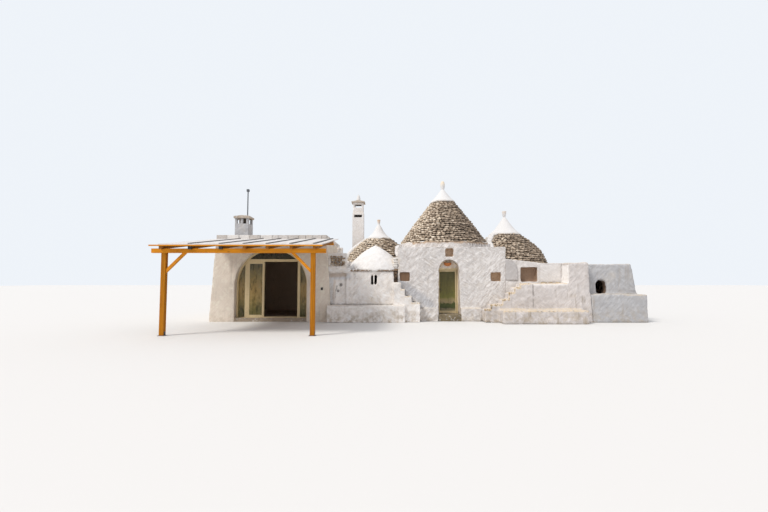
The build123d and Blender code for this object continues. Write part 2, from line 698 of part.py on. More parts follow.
def make_main_roof():
    """Drum, stone cone and cap of the main room."""
    drum = pillar_of(MAIN_CX, MAIN_CY, MAIN_DRUM_R, MAIN_H, CONE_Z)
    drum -= pillar_of(MAIN_CX, MAIN_CY, MAIN_ROOM_R, MAIN_H, CONE_Z)
    save("main_drum", drum)
    cone = stone_cone(MAIN_CX, MAIN_CY, CONE_Z, MAIN_CONE_H, MAIN_CONE_R, MAIN_CONE_TOP_R, MAIN_BULGE,
                      MAIN_ROOM_R, MAIN_COURSES, MAIN_SIDES)
    lift_z = CONE_Z + MAIN_CONE_H * MAIN_LOWER_COURSES / MAIN_COURSES
    lower_lift = cone & pillar_of(MAIN_CX, MAIN_CY, MAIN_DRUM_R, CONE_Z, lift_z)
    upper_lift = cone & pillar_of(MAIN_CX, MAIN_CY, MAIN_DRUM_R, lift_z, CONE_Z + MAIN_CONE_H)
    save("main_cone", lower_lift, upper_lift)
    cap_z = CONE_Z + MAIN_CONE_H
    save("main_cap", cap_of(MAIN_CX, MAIN_CY, cap_z, MAIN_CONE_TOP_R + CAP_LIP, MAIN_CAP_H, MAIN_NECK_R,
                            MAIN_BOWL_R, MAIN_BOWL_H, MAIN_BALL_H))
    return cone


def make_left_room(main_cone):
    """Walls, cone and cap of the left room, with the tall chimney."""
    y0 = LEFT_BLOCK_Y0
    y1 = LEFT_BLOCK_Y1
    mass = block(HALL_X1 - HALL_LEAN_RIGHT, MAIN_X0, y0, y1, 0, LEFT_BLOCK_H) - hall_mass(0, HALL_TOP)
    room = pillar_of(LEFT_CX, LEFT_CY, LEFT_ROOM_R, 0, LEFT_BLOCK_H)
    half = PASSAGE_W / 2
    ways = block(HALL_X1 - HALL_LEAN_RIGHT, MAIN_X0, LEFT_CY - half, LEFT_CY + half, 0, PASSAGE_Z1)
    ways += block(LEFT_CX - half, LEFT_CX + half, y0, LEFT_CY, 0, PASSAGE_Z1)
    walls = mass - room - ways
    walls += block(CELL_X1, MAIN_X0, NOOK_Y, y0, 0, NOOK_H)
    save("left_room_walls", walls)
    cone = stone_cone(LEFT_CX, LEFT_CY, LEFT_BLOCK_H, LEFT_CONE_H, LEFT_CONE_R, LEFT_CONE_TOP_R, LEFT_BULGE,
                      LEFT_ROOM_R, LEFT_COURSES, LEFT_SIDES)
    cone = cone - main_mass(0, MAIN_H) - pillar_of(MAIN_CX, MAIN_CY, MAIN_DRUM_R, 0, CONE_Z)
    cone = cone - main_cone - tall_chimney_box(LEFT_BLOCK_H, TALL_HEAD_TOP, TALL_W)
    cone = cone - block(CELL_X1, MAIN_X0, NOOK_Y, y0, LEFT_BLOCK_H, NOOK_H)
    save("left_cone", max(cone.solids(), key=lambda s: s.volume))
    cap_z = LEFT_BLOCK_H + LEFT_CONE_H
    cap = cap_of(LEFT_CX, LEFT_CY, cap_z, LEFT_CONE_TOP_R + CAP_LIP, LEFT_CAP_H, LEFT_NECK_R,
                 LEFT_CUP_R, LEFT_CUP_H, 0)
    save("left_cap", cap)


def make_tall_chimney():
    """Square shaft with a soot slot, an open lantern, a stone slab and a finial."""
    shaft = tall_chimney_box(LEFT_BLOCK_H, TALL_SHAFT_TOP, TALL_W)
    shaft += tall_chimney_box(TALL_SHAFT_TOP, TALL_HEAD_TOP, TALL_HEAD_W)
    half = TALL_HEAD_W / 2
    slot_z = TALL_SHAFT_TOP - TALL_SLOT_DROP
    shaft -= tall_chimney_box(slot_z, TALL_HEAD_TOP, TALL_FLUE)
    lantern = TALL_OPEN_W / 2
    open_z = TALL_HEAD_TOP - TALL_OPEN_DROP
    shaft -= block(TALL_CX - lantern, TALL_CX + lantern, TALL_CY - half, TALL_CY + half,
                   open_z, open_z + TALL_OPEN_H)
    slot = TALL_SLOT_W / 2
    front = TALL_CY - TALL_W / 2
    shaft -= block(TALL_CX - slot, TALL_CX + slot, front, TALL_CY, slot_z, slot_z + TALL_SLOT_H)
    save("tall_chimney", shaft)
    reach = TALL_W / 2 + TALL_SLAB_LAP
    foot = TALL_HEAD_TOP
    edge = foot + TALL_SLAB_EDGE
    points = [(TALL_CX - reach, foot), (TALL_CX + reach, foot), (TALL_CX + reach, edge),
              (TALL_CX, foot + TALL_SLAB_T), (TALL_CX - reach, edge)]
    slab = front_prism(points, TALL_CY - reach, TALL_CY + reach)
    finial_z = edge + TALL_FINIAL_H / 2
    finial = Pos(TALL_CX, TALL_CY, finial_z) * Cone(TALL_FINIAL_R, TALL_FINIAL_TIP, TALL_FINIAL_H)
    save("tall_chimney_cap", slab + finial)


def make_link_wall():
    """Parapet wall between the hall and the cell, with its rounded lip and vent pot."""
    x0 = HALL_X1 - HALL_LEAN_RIGHT
    wall = block(x0, LINK_X1, LINK_Y0, LINK_Y0 + LINK_WALL, 0, LINK_H)
    lip_mid = LINK_LIP_Z0 + LINK_LIP_H / 2
    lip_y = LINK_Y0
    nose = lip_y - LINK_LIP
    outline = [(lip_y, LINK_LIP_Z0), (nose, lip_mid - LINK_LIP_H / 4), (nose, lip_mid + LINK_LIP_H / 4),
               (lip_y, LINK_LIP_Z0 + LINK_LIP_H)]
    wall += side_prism(outline, x0, LINK_X1)
    wall += block(x0, LINK_X1, LINK_Y0 + LINK_WALL, LEFT_BLOCK_Y0, 0, LEFT_BLOCK_H)
    vent_x0 = LINK_X1 - VENT_W - VENT_SIDE
    vent_x1 = vent_x0 + VENT_W
    vent_y0 = LINK_Y0 + VENT_SETBACK
    vent_top = LINK_H + VENT_H
    wall += block(vent_x0, vent_x1, vent_y0, vent_y0 + VENT_W, LINK_H, vent_top)
    slot = VENT_W / 4
    wall -= block(vent_x0 + slot, vent_x1 - slot, vent_y0, vent_y0 + VENT_SLOT_D,
                  LINK_H + VENT_SLOT_EDGE, vent_top - VENT_SLOT_EDGE)
    save("link_wall", wall - hall_mass(0, HALL_TOP))


def make_cell():
    """Small plastered cell: walls with a barred slot window, cornice and domed roof."""
    x0 = LINK_X1
    x1 = CELL_X1
    y0 = CELL_Y0
    y1 = LEFT_BLOCK_Y0
    walls = block(x0, x1, y0, y1, 0, CELL_H)
    inner = block(x0 + CELL_WALL, x1 - CELL_WALL, y0 + CELL_WALL, y1, 0, CELL_H)
    walls -= inner
    half = (SLOT_W - SLOT_BAR) / 2
    for side in (-1, 1):
        mid = SLOT_CX + side * (half + SLOT_BAR) / 2
        walls -= block(mid - half / 2, mid + half / 2, y0, y0 + CELL_WALL, SLOT_Z0, SLOT_Z1)
    save("cell_walls", walls)
    lap = CORNICE_LAP
    plate = block(x0, x1, y0 - lap, y1, CELL_H, CELL_TOP)
    plate += block(x1, x1 + lap, y0 - lap, NOOK_Y, CELL_H, CELL_TOP)
    plate -= block(x0 + CELL_WALL, x1 - CELL_WALL, y0 + CELL_WALL, y1, CELL_H, CELL_TOP)
    save("cell_cornice", plate)
    waist_r, waist_h = CELL_WAIST
    outer_r = CELL_ROOF_R
    outer_h = CELL_ROOF_H
    outer = Spline((outer_r, CELL_TOP), (outer_r * waist_r, CELL_TOP + outer_h * waist_h),
                   (0, CELL_TOP + outer_h))
    inner_r = CELL_ROOF_R - CELL_SHELL
    inner_h = CELL_ROOF_H - CELL_SHELL * CELL_CROWN
    under = Spline((inner_r, CELL_TOP), (inner_r * waist_r, CELL_TOP + inner_h * waist_h),
                   (0, CELL_TOP + inner_h))
    shell = make_face([outer, Line((0, CELL_TOP + CELL_ROOF_H), (0, CELL_TOP + inner_h)), under,
                       Line((inner_r, CELL_TOP), (CELL_ROOF_R, CELL_TOP))])
    dome = Pos(CELL_CX, CELL_CY, 0) * revolve(Plane.XZ * shell, Axis.Z)
    bounds = block(x0, x1, y0 - lap, y1, CELL_TOP, CELL_TOP + CELL_ROOF_H)
    save("cell_roof", dome & bounds)


def make_front_left():
    """Plinth bench and rough stair against the front on the left."""
    bench = block(BENCH_X0, BENCH_X1, BENCH_Y0, CELL_Y0, 0, BENCH_H) - hall_mass(0, HALL_TOP)
    save("left_bench", bench)
    front = CELL_Y0 - STAIR_D
    stair = block(CELL_X1, MAIN_X0, CELL_Y0, NOOK_Y, 0, STAIR_TOPS[0])
    left = CELL_X1
    for top, edge in zip(STAIR_TOPS, STAIR_EDGES):
        back = CELL_Y0 if left < MAIN_X0 else 0
        stair += block(left, edge, front, back, 0, top)
        left = edge
    stair += block(MAIN_X0, STAIR_EDGES[0], CELL_Y0, 0, 0, STAIR_TOPS[0])
    save("left_stair", stair - block(BENCH_X0, BENCH_X1, BENCH_Y0, CELL_Y0, 0, BENCH_H))


def pillar_mass():
    """The battered pillar at the terrace's right end."""
    points = [(TERRACE_X1, 0), (PILLAR_FOOT_X1, 0), (PILLAR_X1, PILLAR_H), (TERRACE_X1, PILLAR_H)]
    return front_prism(points, WING_Y0, 0)


def make_right_wing():
    """Terrace, stair, upper wall, room walls, roof, cone and cap of the right wing."""
    y1 = WING_BACK
    split = RIGHT_CY - RIGHT_CONE_R
    outline = [(MAIN_X1, 0), (END_START, 0), (END_START, WING_H), (WING_RISE_X, WING_H),
               (MAIN_X1, WING_LEFT_H)]
    upper = front_prism(outline, 0, WING_WALL)
    niche_z = WALL_NICHE_Z0
    upper -= block(WALL_NICHE_X0, WALL_NICHE_X0 + WALL_NICHE_W, 0, NICHE_DEPTH, niche_z, WALL_NICHE_Z1)
    save("wing_front_wall", upper)
    room = pillar_of(RIGHT_CX, RIGHT_CY, RIGHT_ROOM_R, 0, WING_H)
    half = PASSAGE_W / 2
    ways = block(RIGHT_CX - half, RIGHT_CX + half, WING_WALL, RIGHT_CY, 0, PASSAGE_Z1)
    ways += block(MAIN_CX, RIGHT_CX, WING_WAY_Y - half, WING_WAY_Y + half, 0, PASSAGE_Z1)
    ways += block(RIGHT_CX, WING_X1, END_WAY_Y - half, END_WAY_Y + half, 0, PASSAGE_Z1)
    mass = block(MAIN_X1 - WING_LAP, WING_X1, WING_WALL, y1, 0, WING_H) - main_mass(0, MAIN_H)
    walls = mass - room - ways
    porch_x0 = MAIN_X1 + WING_SIDE_WALL
    porch_x1 = END_START - WING_SIDE_WALL
    walls -= block(porch_x0, porch_x1, WING_WALL, split, 0, WING_H)
    save("wing_room_walls", walls)
    save("wing_roof", block(porch_x0, porch_x1, WING_WALL, split, WING_H - ROOF_T, WING_H))
    cone = stone_cone(RIGHT_CX, RIGHT_CY, WING_H, RIGHT_CONE_H, RIGHT_CONE_R, RIGHT_CONE_TOP_R, RIGHT_BULGE,
                      RIGHT_ROOM_R, RIGHT_COURSES, RIGHT_SIDES)
    cone = cone - main_mass(0, MAIN_H) - pillar_of(MAIN_CX, MAIN_CY, MAIN_DRUM_R, 0, CONE_Z)
    save("right_cone", max(cone.solids(), key=lambda s: s.volume))
    cap_z = WING_H + RIGHT_CONE_H
    cap = cap_of(RIGHT_CX, RIGHT_CY, cap_z, RIGHT_CONE_TOP_R + CAP_LIP, RIGHT_CAP_H, RIGHT_NECK_R,
                 RIGHT_CUP_R, RIGHT_CUP_H, 0)
    save("right_cap", cap)
    panel = arched_front(PANEL_CX, PANEL_W, PANEL_Z0, PANEL_Z0 + PANEL_H, -PANEL_T, 0)
    save("upper_door_panel", panel & block(MAIN_X1, PANEL_CX + PANEL_W, -PANEL_T, 0, PANEL_Z0, WING_LEFT_H))
    terrace = block(TERRACE_X0, TERRACE_X1, WING_Y0, 0, 0, TERRACE_H)
    save("wing_terrace", terrace)
    stair = block(WING_STAIR_X0, WING_STAIR_EDGES[0], WING_Y0, 0, 0, WING_STAIR_TOPS[0])
    for k in range(1, len(WING_STAIR_TOPS)):
        stair += block(WING_STAIR_EDGES[k - 1], WING_STAIR_EDGES[k], WING_Y0, 0, 0, WING_STAIR_TOPS[k])
    save("wing_stair", stair)
    save("wing_pillar", pillar_mass())
    save("right_bench", block(SEAT_X0, SEAT_X1, SEAT_Y0, WING_Y0, 0, SEAT_H))


def make_end_room():
    """End room with its arched window, roof and ledge."""
    y1 = END_Y0 + END_DEPTH
    points = [(END_START, 0), (END_FOOT_X1, 0), (END_TOP_X1, END_H), (END_START, END_H)]
    mass = front_prism(points, END_Y0, y1) - pillar_mass()
    inner_x0 = WING_X1
    inner_x1 = END_TOP_X1 - END_WALL
    inner_y1 = y1 - END_WALL
    inner = block(inner_x0, inner_x1, END_Y0 + END_WALL, inner_y1, 0, END_H - ROOF_T)
    slab = block(inner_x0, inner_x1, END_Y0 + END_WALL, inner_y1, END_H - ROOF_T, END_H)
    window_spring = END_WINDOW_Z1 - END_WINDOW_W / 2
    window = arched_front(END_WINDOW_CX, END_WINDOW_W, END_WINDOW_Z0, window_spring, END_Y0, END_Y0 + END_WALL)
    walls = mass - inner - slab - window - block(END_START, WING_X1, WING_WALL, WING_BACK, 0, WING_H)
    save("end_room_walls", walls)
    save("end_room_roof", slab)
    ledge = block(END_START, LEDGE_X1, LEDGE_Y0, END_Y0, 0, LEDGE_H) - pillar_mass()
    save("end_ledge", ledge)


def make_pergola():
    """Posts, beam, knee braces, rafters, boards and the sheet roof."""
    y0 = PERGOLA_Y0
    half = POST_W / 2
    posts = []
    braces = []
    for x, side in ((POST_LEFT, 1), (POST_RIGHT, -1)):
        posts.append(block(x - half, x + half, y0, y0 + POST_W, 0, BEAM_Z0))
        foot = x + side * half
        mid = y0 + half
        points = [(foot, BEAM_Z0 - BRACE_LEG), (foot + side * BRACE_LEG, BEAM_Z0),
                  (foot + side * (BRACE_LEG - BRACE_T), BEAM_Z0), (foot, BEAM_Z0 - BRACE_LEG + BRACE_T)]
        braces.append(front_prism(points, mid - BRACE_W / 2, mid + BRACE_W / 2))
    save("pergola_posts", *posts)
    save("pergola_braces", *braces)
    beam_top = BEAM_Z0 + BEAM_H
    save("pergola_beam", block(BEAM_X0, BEAM_X1, y0, y0 + POST_W, BEAM_Z0, beam_top))
    ledger_y = HALL_Y0 - LEDGER_T
    seat_y = y0 + POST_W
    slope = (LEDGER_TOP - beam_top) / (HALL_Y0 - seat_y)
    tail_y = y0 - RAFTER_TAIL

    def low(y):
        return beam_top + (y - seat_y) * slope

    rafters = []
    outline = [(tail_y, low(tail_y)), (y0, low(y0)), (y0, beam_top), (seat_y, beam_top),
               (ledger_y, low(ledger_y)), (ledger_y, LEDGER_TOP), (HALL_Y0, LEDGER_TOP),
               (HALL_Y0, low(HALL_Y0) + RAFTER_H), (tail_y, low(tail_y) + RAFTER_H)]
    half = RAFTER_W / 2
    for x in RAFTER_XS:
        rafters.append(side_prism(outline, x - half, x + half))
    save("pergola_rafters", *rafters)
    front_y = tail_y - BATTEN_T
    sheet_x0 = RAFTER_XS[0] - half - SHEET_LAP_LEFT
    sheet_x1 = RAFTER_XS[-1] + half + SHEET_LAP_RIGHT
    front_z = low(front_y) + RAFTER_H
    tail_z = low(tail_y) + RAFTER_H
    edge = [(front_y, front_z - BATTEN_H), (tail_y, front_z - BATTEN_H), (tail_y, tail_z), (front_y, front_z)]
    batten = side_prism(edge, sheet_x0 - BATTEN_END, sheet_x1)
    ledger = block(LEDGER_X0, LEDGER_X1, ledger_y, HALL_Y0, LEDGER_TOP - LEDGER_H, LEDGER_TOP)
    save("pergola_boards", ledger, batten)
    back_z = low(HALL_Y0) + RAFTER_H
    top = [(front_y, front_z), (HALL_Y0, back_z), (HALL_Y0, back_z + SHEET_T), (front_y, front_z + SHEET_T)]
    save("pergola_roof", side_prism(top, sheet_x0, sheet_x1))


def build():
    """Make every piece of the house."""
    os.makedirs("parts", exist_ok=True)
    make_hall()
    make_hall_chimney()
    make_garden_door()
    make_main_walls()
    make_main_door()
    make_lamp()
    cone = make_main_roof()
    make_left_room(cone)
    make_tall_chimney()
    make_link_wall()
    make_cell()
    make_front_left()
    make_right_wing()
    make_end_room()
    make_pergola()
    hall_floor, main_floor = make_floors()
    save("hall_floor", hall_floor)
    save("main_floor", main_floor)


build()
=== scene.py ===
import bmesh
import bpy
import numpy as np
from collections import namedtuple
from itertools import product
from math import ceil, cos, hypot, pi, radians, sin, sqrt, tau
from mathutils import Euler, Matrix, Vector
from mathutils.kdtree import KDTree


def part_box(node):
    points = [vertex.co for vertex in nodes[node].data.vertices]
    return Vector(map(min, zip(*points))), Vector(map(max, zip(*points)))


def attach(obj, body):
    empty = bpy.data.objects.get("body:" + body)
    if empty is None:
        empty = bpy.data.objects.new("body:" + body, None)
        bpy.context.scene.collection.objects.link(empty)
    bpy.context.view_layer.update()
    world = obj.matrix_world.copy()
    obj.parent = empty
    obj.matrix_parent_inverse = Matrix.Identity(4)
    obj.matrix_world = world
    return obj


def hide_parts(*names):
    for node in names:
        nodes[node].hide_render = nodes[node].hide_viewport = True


# The dressed trullo house: plaster skins over the masonry, separate slabs on the stone cones,
# grained timber, cream joinery, glass, and the small things that the solids leave out.
# Metres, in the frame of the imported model: +X right along the front, +Y into the house, +Z up.

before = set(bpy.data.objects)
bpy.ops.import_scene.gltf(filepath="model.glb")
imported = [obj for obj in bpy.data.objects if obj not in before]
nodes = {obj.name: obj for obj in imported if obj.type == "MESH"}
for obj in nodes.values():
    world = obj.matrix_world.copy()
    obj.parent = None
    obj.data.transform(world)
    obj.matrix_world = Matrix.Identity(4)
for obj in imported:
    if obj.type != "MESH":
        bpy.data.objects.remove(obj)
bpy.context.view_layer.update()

HOUSE = "house"


# Materials

def operator(operation, after=False):
    """A method of Value that adds a Math node, with the other value first where it comes after."""
    def method(self, other):
        a, b = (other, self) if after else (self, other)
        return self.finish.node("ShaderNodeMath", {0: a, 1: b}, operation=operation)
    return method


class Value:
    """A socket of a material, with arithmetic that adds Math nodes."""

    def __init__(self, finish, socket):
        self.finish = finish
        self.socket = socket

    __add__, __radd__ = operator("ADD"), operator("ADD", after=True)
    __sub__, __rsub__ = operator("SUBTRACT"), operator("SUBTRACT", after=True)
    __mul__ = operator("MULTIPLY")

    def over(self, low, high):
        """0 below low, 1 above high, a ramp between; the other way round where low is the larger."""
        ends = [(low, 0.0), (high, 1.0)] if low < high else [(high, 1.0), (low, 0.0)]
        return self.finish.ramp(self, ends)


STROKE_LENGTH = 0.26
STROKE_WIDTH = 0.075
MIX_SHARE, MIX_A, MIX_B, MIX_OUT = 0, 6, 7, 2       # a Mix node's sockets for colours


class Finish:
    """One procedural material. Its colour is built up from a base in layers."""

    def __init__(self, name, rough, base=None, **plain):
        self.made = bpy.data.materials.new(name)
        self.made.use_nodes = True
        self.tree = self.made.node_tree
        self.shader = self.tree.nodes["Principled BSDF"]
        self.colour = base
        for key, value in {"Roughness": rough, **plain}.items():
            self.set(key.replace("_", " "), value)

    def node(self, kind, inputs, out=0, **settings):
        """Add a node: its settings first, then its sockets."""
        made = self.tree.nodes.new(kind)
        for key, value in settings.items():
            setattr(made, key, value)
        for key, value in inputs.items():
            self.feed(made.inputs[key], value)
        return Value(self, made.outputs[out])

    def feed(self, socket, value):
        """Link a value to a socket, or set it."""
        if isinstance(value, Value):
            self.tree.links.new(value.socket, socket)
        elif isinstance(value, tuple) and socket.type == "RGBA":
            socket.default_value = (*value, 1.0)
        else:
            socket.default_value = value

    def set(self, socket, value):
        self.feed(self.shader.inputs[socket], value)

    def ramp(self, value, stops):
        """A colour ramp over a value. A number among its stops stands for a grey."""
        made = self.node("ShaderNodeValToRGB", {0: value})
        elements = made.socket.node.color_ramp.elements
        while len(elements) < len(stops):
            elements.new(0.5)
        for element, (place, colour) in zip(elements, stops):
            element.position = place
            shade = colour if isinstance(colour, tuple) else (colour, colour, colour)
            element.color = (*shade, 1.0)
        return made

    def place(self):
        """Where a point is, in metres."""
        return self.node("ShaderNodeTexCoord", {}, "Object")

    def stretched(self, scale):
        """The place, scaled per axis."""
        return self.node("ShaderNodeMapping", {"Vector": self.place(), "Scale": scale})

    def height(self, low, high):
        """0 at height low over the ground, 1 at height high."""
        z = self.node("ShaderNodeSeparateXYZ", {0: self.place()}, "Z")
        return self.node("ShaderNodeMapRange", {"Value": z, "From Min": low, "From Max": high})

    def noise(self, scale, detail=4.0, rough=0.55, at=None):
        sockets = {"Vector": at or self.place(), "Scale": scale, "Detail": detail, "Roughness": rough}
        return self.node("ShaderNodeTexNoise", sockets, "Fac")

    def grain(self, scale, detail, rough=0.6):
        """Noise with a scale for each axis."""
        return self.noise(1.0, detail, rough, self.stretched(scale))

    def strokes(self, turn):
        """Noise drawn out in strokes, turned about the depth axis."""
        size = (STROKE_LENGTH, 0.5 * (STROKE_LENGTH + STROKE_WIDTH), STROKE_WIDTH)
        sockets = {"Vector": self.place(), "Scale": size, "Rotation": (0.0, turn, 0.0)}
        at = self.node("ShaderNodeMapping", sockets, vector_type="TEXTURE")
        return self.noise(1.0, 5.0, 0.6, at)

    def cells(self, scale, at=None):
        """How far a point is from the nearest of many scattered spots."""
        return self.node("ShaderNodeTexVoronoi", {"Vector": at or self.place(), "Scale": scale}, "Distance")

    def mark(self, name):
        """A number stored on the mesh."""
        return self.node("ShaderNodeAttribute", {}, "Fac", attribute_name=name)

    def lay(self, shade, share, way="MIX"):
        """Mix a shade into the colour so far."""
        sockets = {MIX_SHARE: share, MIX_A: self.colour, MIX_B: shade}
        self.colour = self.node("ShaderNodeMix", sockets, MIX_OUT,
                                data_type="RGBA", blend_type=way, clamp_factor=True)

    def tint(self, shade, share):
        """Multiply the colour so far by a shade."""
        self.lay(shade, share, "MULTIPLY")

    def done(self, relief=None, strength=0.0, distance=0.0):
        """Give the shader its colour, and a bump from the relief."""
        self.set("Base Color", self.colour)
        if relief:
            sockets = {"Height": relief, "Strength": strength, "Distance": distance}
            self.set("Normal", self.node("ShaderNodeBump", sockets))
        return self.made


def scaled(colour, by, most=1.0):
    """A colour made darker or lighter."""
    return tuple(min(c * by, most) for c in colour)


def lengthwise(axis, across, along):
    """A scale per axis that differs along one axis."""
    return tuple(along if k == axis else across for k in range(3))


OCHRE = (0.70, 0.54, 0.33)
CREAM = (0.70, 0.58, 0.42)
SMOKE = (0.40, 0.36, 0.325)
RAIN_STAIN = (0.36, 0.31, 0.26)
SPLASH = (0.40, 0.325, 0.235)
CHIP = (0.33, 0.28, 0.235)
HOLLOW = (0.33, 0.28, 0.23)
BLUE_SHADE = (0.70, 0.735, 0.79)
ROOM_BROWN = (0.46, 0.35, 0.26)
# Pale lime: new lime in places, and painted highlight on the wing pillar's sunlit left face
FRESH_LIME_AND_HIGHLIGHT = (0.84, 0.815, 0.795)
SOOT_AND_SHADOW = (0.055, 0.042, 0.034)
# The low side of a trowel stroke is painted darker, as painted shade of its relief
STROKE_SHADE = (0.80, 0.765, 0.73)      # what the low side of a trowel stroke keeps of the white
RISING, FALLING = -0.88, 0.60           # the strokes' two turns, in radians


def limewash(name, white, wear, dirt=1.0, relief=1.0, rain=1.0, top=(0.66, 0.60, 0.52),
             recess_brown_and_shade=(0.44, 0.31, 0.20)):
    """Many coats of lime: trowelled, faintly stained, with stone showing where edges are worn."""
    m = Finish(name, 0.92, white)
    pale = scaled(white, 1.24, 0.86)
    broad = m.noise(0.8, 3.0)
    fine = m.noise(24.0, 8.0, 0.6)
    m.lay(scaled(white, 0.84), broad.over(0.40, 0.66))
    m.lay(pale, m.noise(3.2, 6.0).over(0.52, 0.72) * 0.8)
    # Trowel strokes: painted shade on each stroke's low side, and painted highlight in the pale colour on its high side
    side = broad.over(0.42, 0.62)
    stroke = m.strokes(FALLING) * side + m.strokes(RISING) * (1.0 - side)
    stroke_painted_shade = tuple(c * k for c, k in zip(white, STROKE_SHADE))
    m.lay(stroke_painted_shade, (1.0 - stroke.over(0.38, 0.52)) * (0.85 * relief))
    m.lay(pale, stroke.over(0.52, 0.62) * (0.75 * relief))
    # Dirt: warm patches, smoke, rain streaks, splashes at the foot, chips, and tops that weather
    m.lay(CREAM, m.noise(1.7, 5.0).over(0.58, 0.76) * (0.26 * dirt))
    smoke = m.noise(1.35, 7.0, 0.68).over(0.52, 0.70) * m.noise(9.0, 6.0, 0.7).over(0.36, 0.60)
    m.lay(SMOKE, smoke * (0.34 * dirt))
    stain = m.grain((8.0, 8.0, 0.7), 5.0).over(0.52, 0.74) * m.noise(1.9, 4.0).over(0.42, 0.66)
    m.lay(RAIN_STAIN, stain * (0.46 * dirt * rain))
    foot = (1.0 - m.height(0.05, 0.75)) * m.noise(5.0, 7.0, 0.65).over(0.44, 0.60)
    m.lay(SPLASH, foot * (0.60 * dirt))
    chips = m.noise(22.0, 5.0, 0.7).over(0.60, 0.66) * m.noise(2.6, 4.0).over(0.46, 0.58)
    m.lay(CHIP, chips * (0.60 * dirt))
    m.lay(top, m.mark("up").over(0.50, 0.85) * m.noise(7.0, 7.0, 0.65).over(0.36, 0.60) * 0.85)
    # What the mesh itself says: worn edges, hollows and the marks of plaster_skin
    worn = m.mark("edge").over(0.25, 0.60) * m.noise(6.0, 6.0).over(0.48, 0.60)
    m.lay(OCHRE, worn * wear * 0.8)
    m.lay(HOLLOW, m.mark("hollow").over(0.08, 0.45) * 0.40 * fine.over(0.3, 0.7))
    m.lay(OCHRE, m.mark("ochre") * m.noise(12.0, 6.0, 0.6).over(0.36, 0.56))
    m.tint(BLUE_SHADE, m.mark("shade"))
    # The first of these is brown in niches, reveals and under ledges: partly the stone's colour, partly painted shade
    for kind, shade in (("recess_brown_and_shade", recess_brown_and_shade), ("inside", ROOM_BROWN), ("fresh_lime_and_highlight", FRESH_LIME_AND_HIGHLIGHT)):
        m.lay(shade, m.mark(kind))
    # Near-black marks: sooty stains and cracks, painted shadow by steps, under ledges and round the blind panel, and
    # painted shade in holes
    m.lay(SOOT_AND_SHADOW, m.mark("soot") * m.noise(16.0, 5.0).over(0.25, 0.5))
    lumps = stroke * 1.8 + fine * 0.22 + m.noise(80.0, 4.0) * 0.08 + m.noise(10.0, 5.0) * 0.5
    return m.done(lumps, 0.9, 0.040 * relief)


JOINT_EARTH_AND_SHADE = (0.24, 0.205, 0.18)
LICHEN = (0.125, 0.11, 0.09)
RUST = (0.50, 0.38, 0.23)
SPLASHED_LIME = (0.78, 0.75, 0.71)


def dry_stone(name, stops):
    """Weathered limestone: each slab has its own tone, with lichen and lime on some."""
    m = Finish(name, 0.95)
    fine = m.noise(17.0, 8.0, 0.68)
    m.colour = m.ramp(m.mark("tone"), stops)
    m.tint(m.ramp(fine, [(0.28, 0.68), (0.50, 1.0), (0.72, 1.14)]), 0.9)
    # Darker where stones meet: earth in the joints, and painted shade between the stones
    m.tint(JOINT_EARTH_AND_SHADE, m.mark("joint").over(0.30, 1.0) * fine.over(0.80, 0.40) * 0.95)
    m.lay(LICHEN, m.noise(6.0, 7.0, 0.65).over(0.58, 0.70) * 0.32)
    m.lay(RUST, m.noise(2.4, 4.0).over(0.56, 0.74) * 0.30)
    m.lay(SPLASHED_LIME, m.mark("limed") * fine.over(0.22, 0.42))
    return m.done(fine * 0.8 + m.cells(26.0) * 0.35 + m.noise(90.0, 3.0) * 0.2, 1.0, 0.018)


def plain_stone(name, base, stain):
    """One worn stone with blotches and pits."""
    m = Finish(name, 0.9, base)
    fine = m.noise(22.0, 8.0, 0.6)
    m.lay(stain, m.noise(4.5, 7.0, 0.6).over(0.42, 0.66))
    m.tint(m.ramp(fine, [(0.25, 0.7), (0.75, 1.1)]), 0.85)
    m.lay((0.70, 0.67, 0.63), m.noise(9.0, 6.0).over(0.56, 0.66) * 0.6)
    return m.done(fine + m.cells(40.0) * 0.3, 0.8, 0.010)


def gap_dark(name):
    """Near-black grit: painted shade behind the cone slabs, and the sooty inside of the flue."""
    m = Finish(name, 1.0, (0.060, 0.050, 0.040))
    grit = m.noise(30.0, 6.0, 0.7)
    m.lay((0.17, 0.14, 0.11), grit.over(0.40, 0.68))
    return m.done(grit, 1.0, 0.02)


def cap_lime(name, tip_low, tip_high, tip):
    """Fresh white lime on a cone's cap, which changes to its weathered tip between two heights."""
    m = Finish(name, 0.88, (0.71, 0.70, 0.69))
    fine = m.noise(20.0, 7.0, 0.6)
    m.lay((0.70, 0.67, 0.64), m.noise(2.6, 5.0).over(0.48, 0.70) * 0.6)
    m.lay((0.52, 0.47, 0.41), m.grain((11.0, 11.0, 0.9), 5.0).over(0.60, 0.80) * 0.28)
    m.lay((0.50, 0.44, 0.37), m.mark("rim") * m.noise(9.0, 6.0).over(0.40, 0.60) * 0.5)
    m.lay(tip, m.height(tip_low, tip_high) * fine.over(0.25, 0.55) * 0.85)
    return m.done(fine * 0.6 + m.noise(7.0, 5.0), 0.7, 0.018)


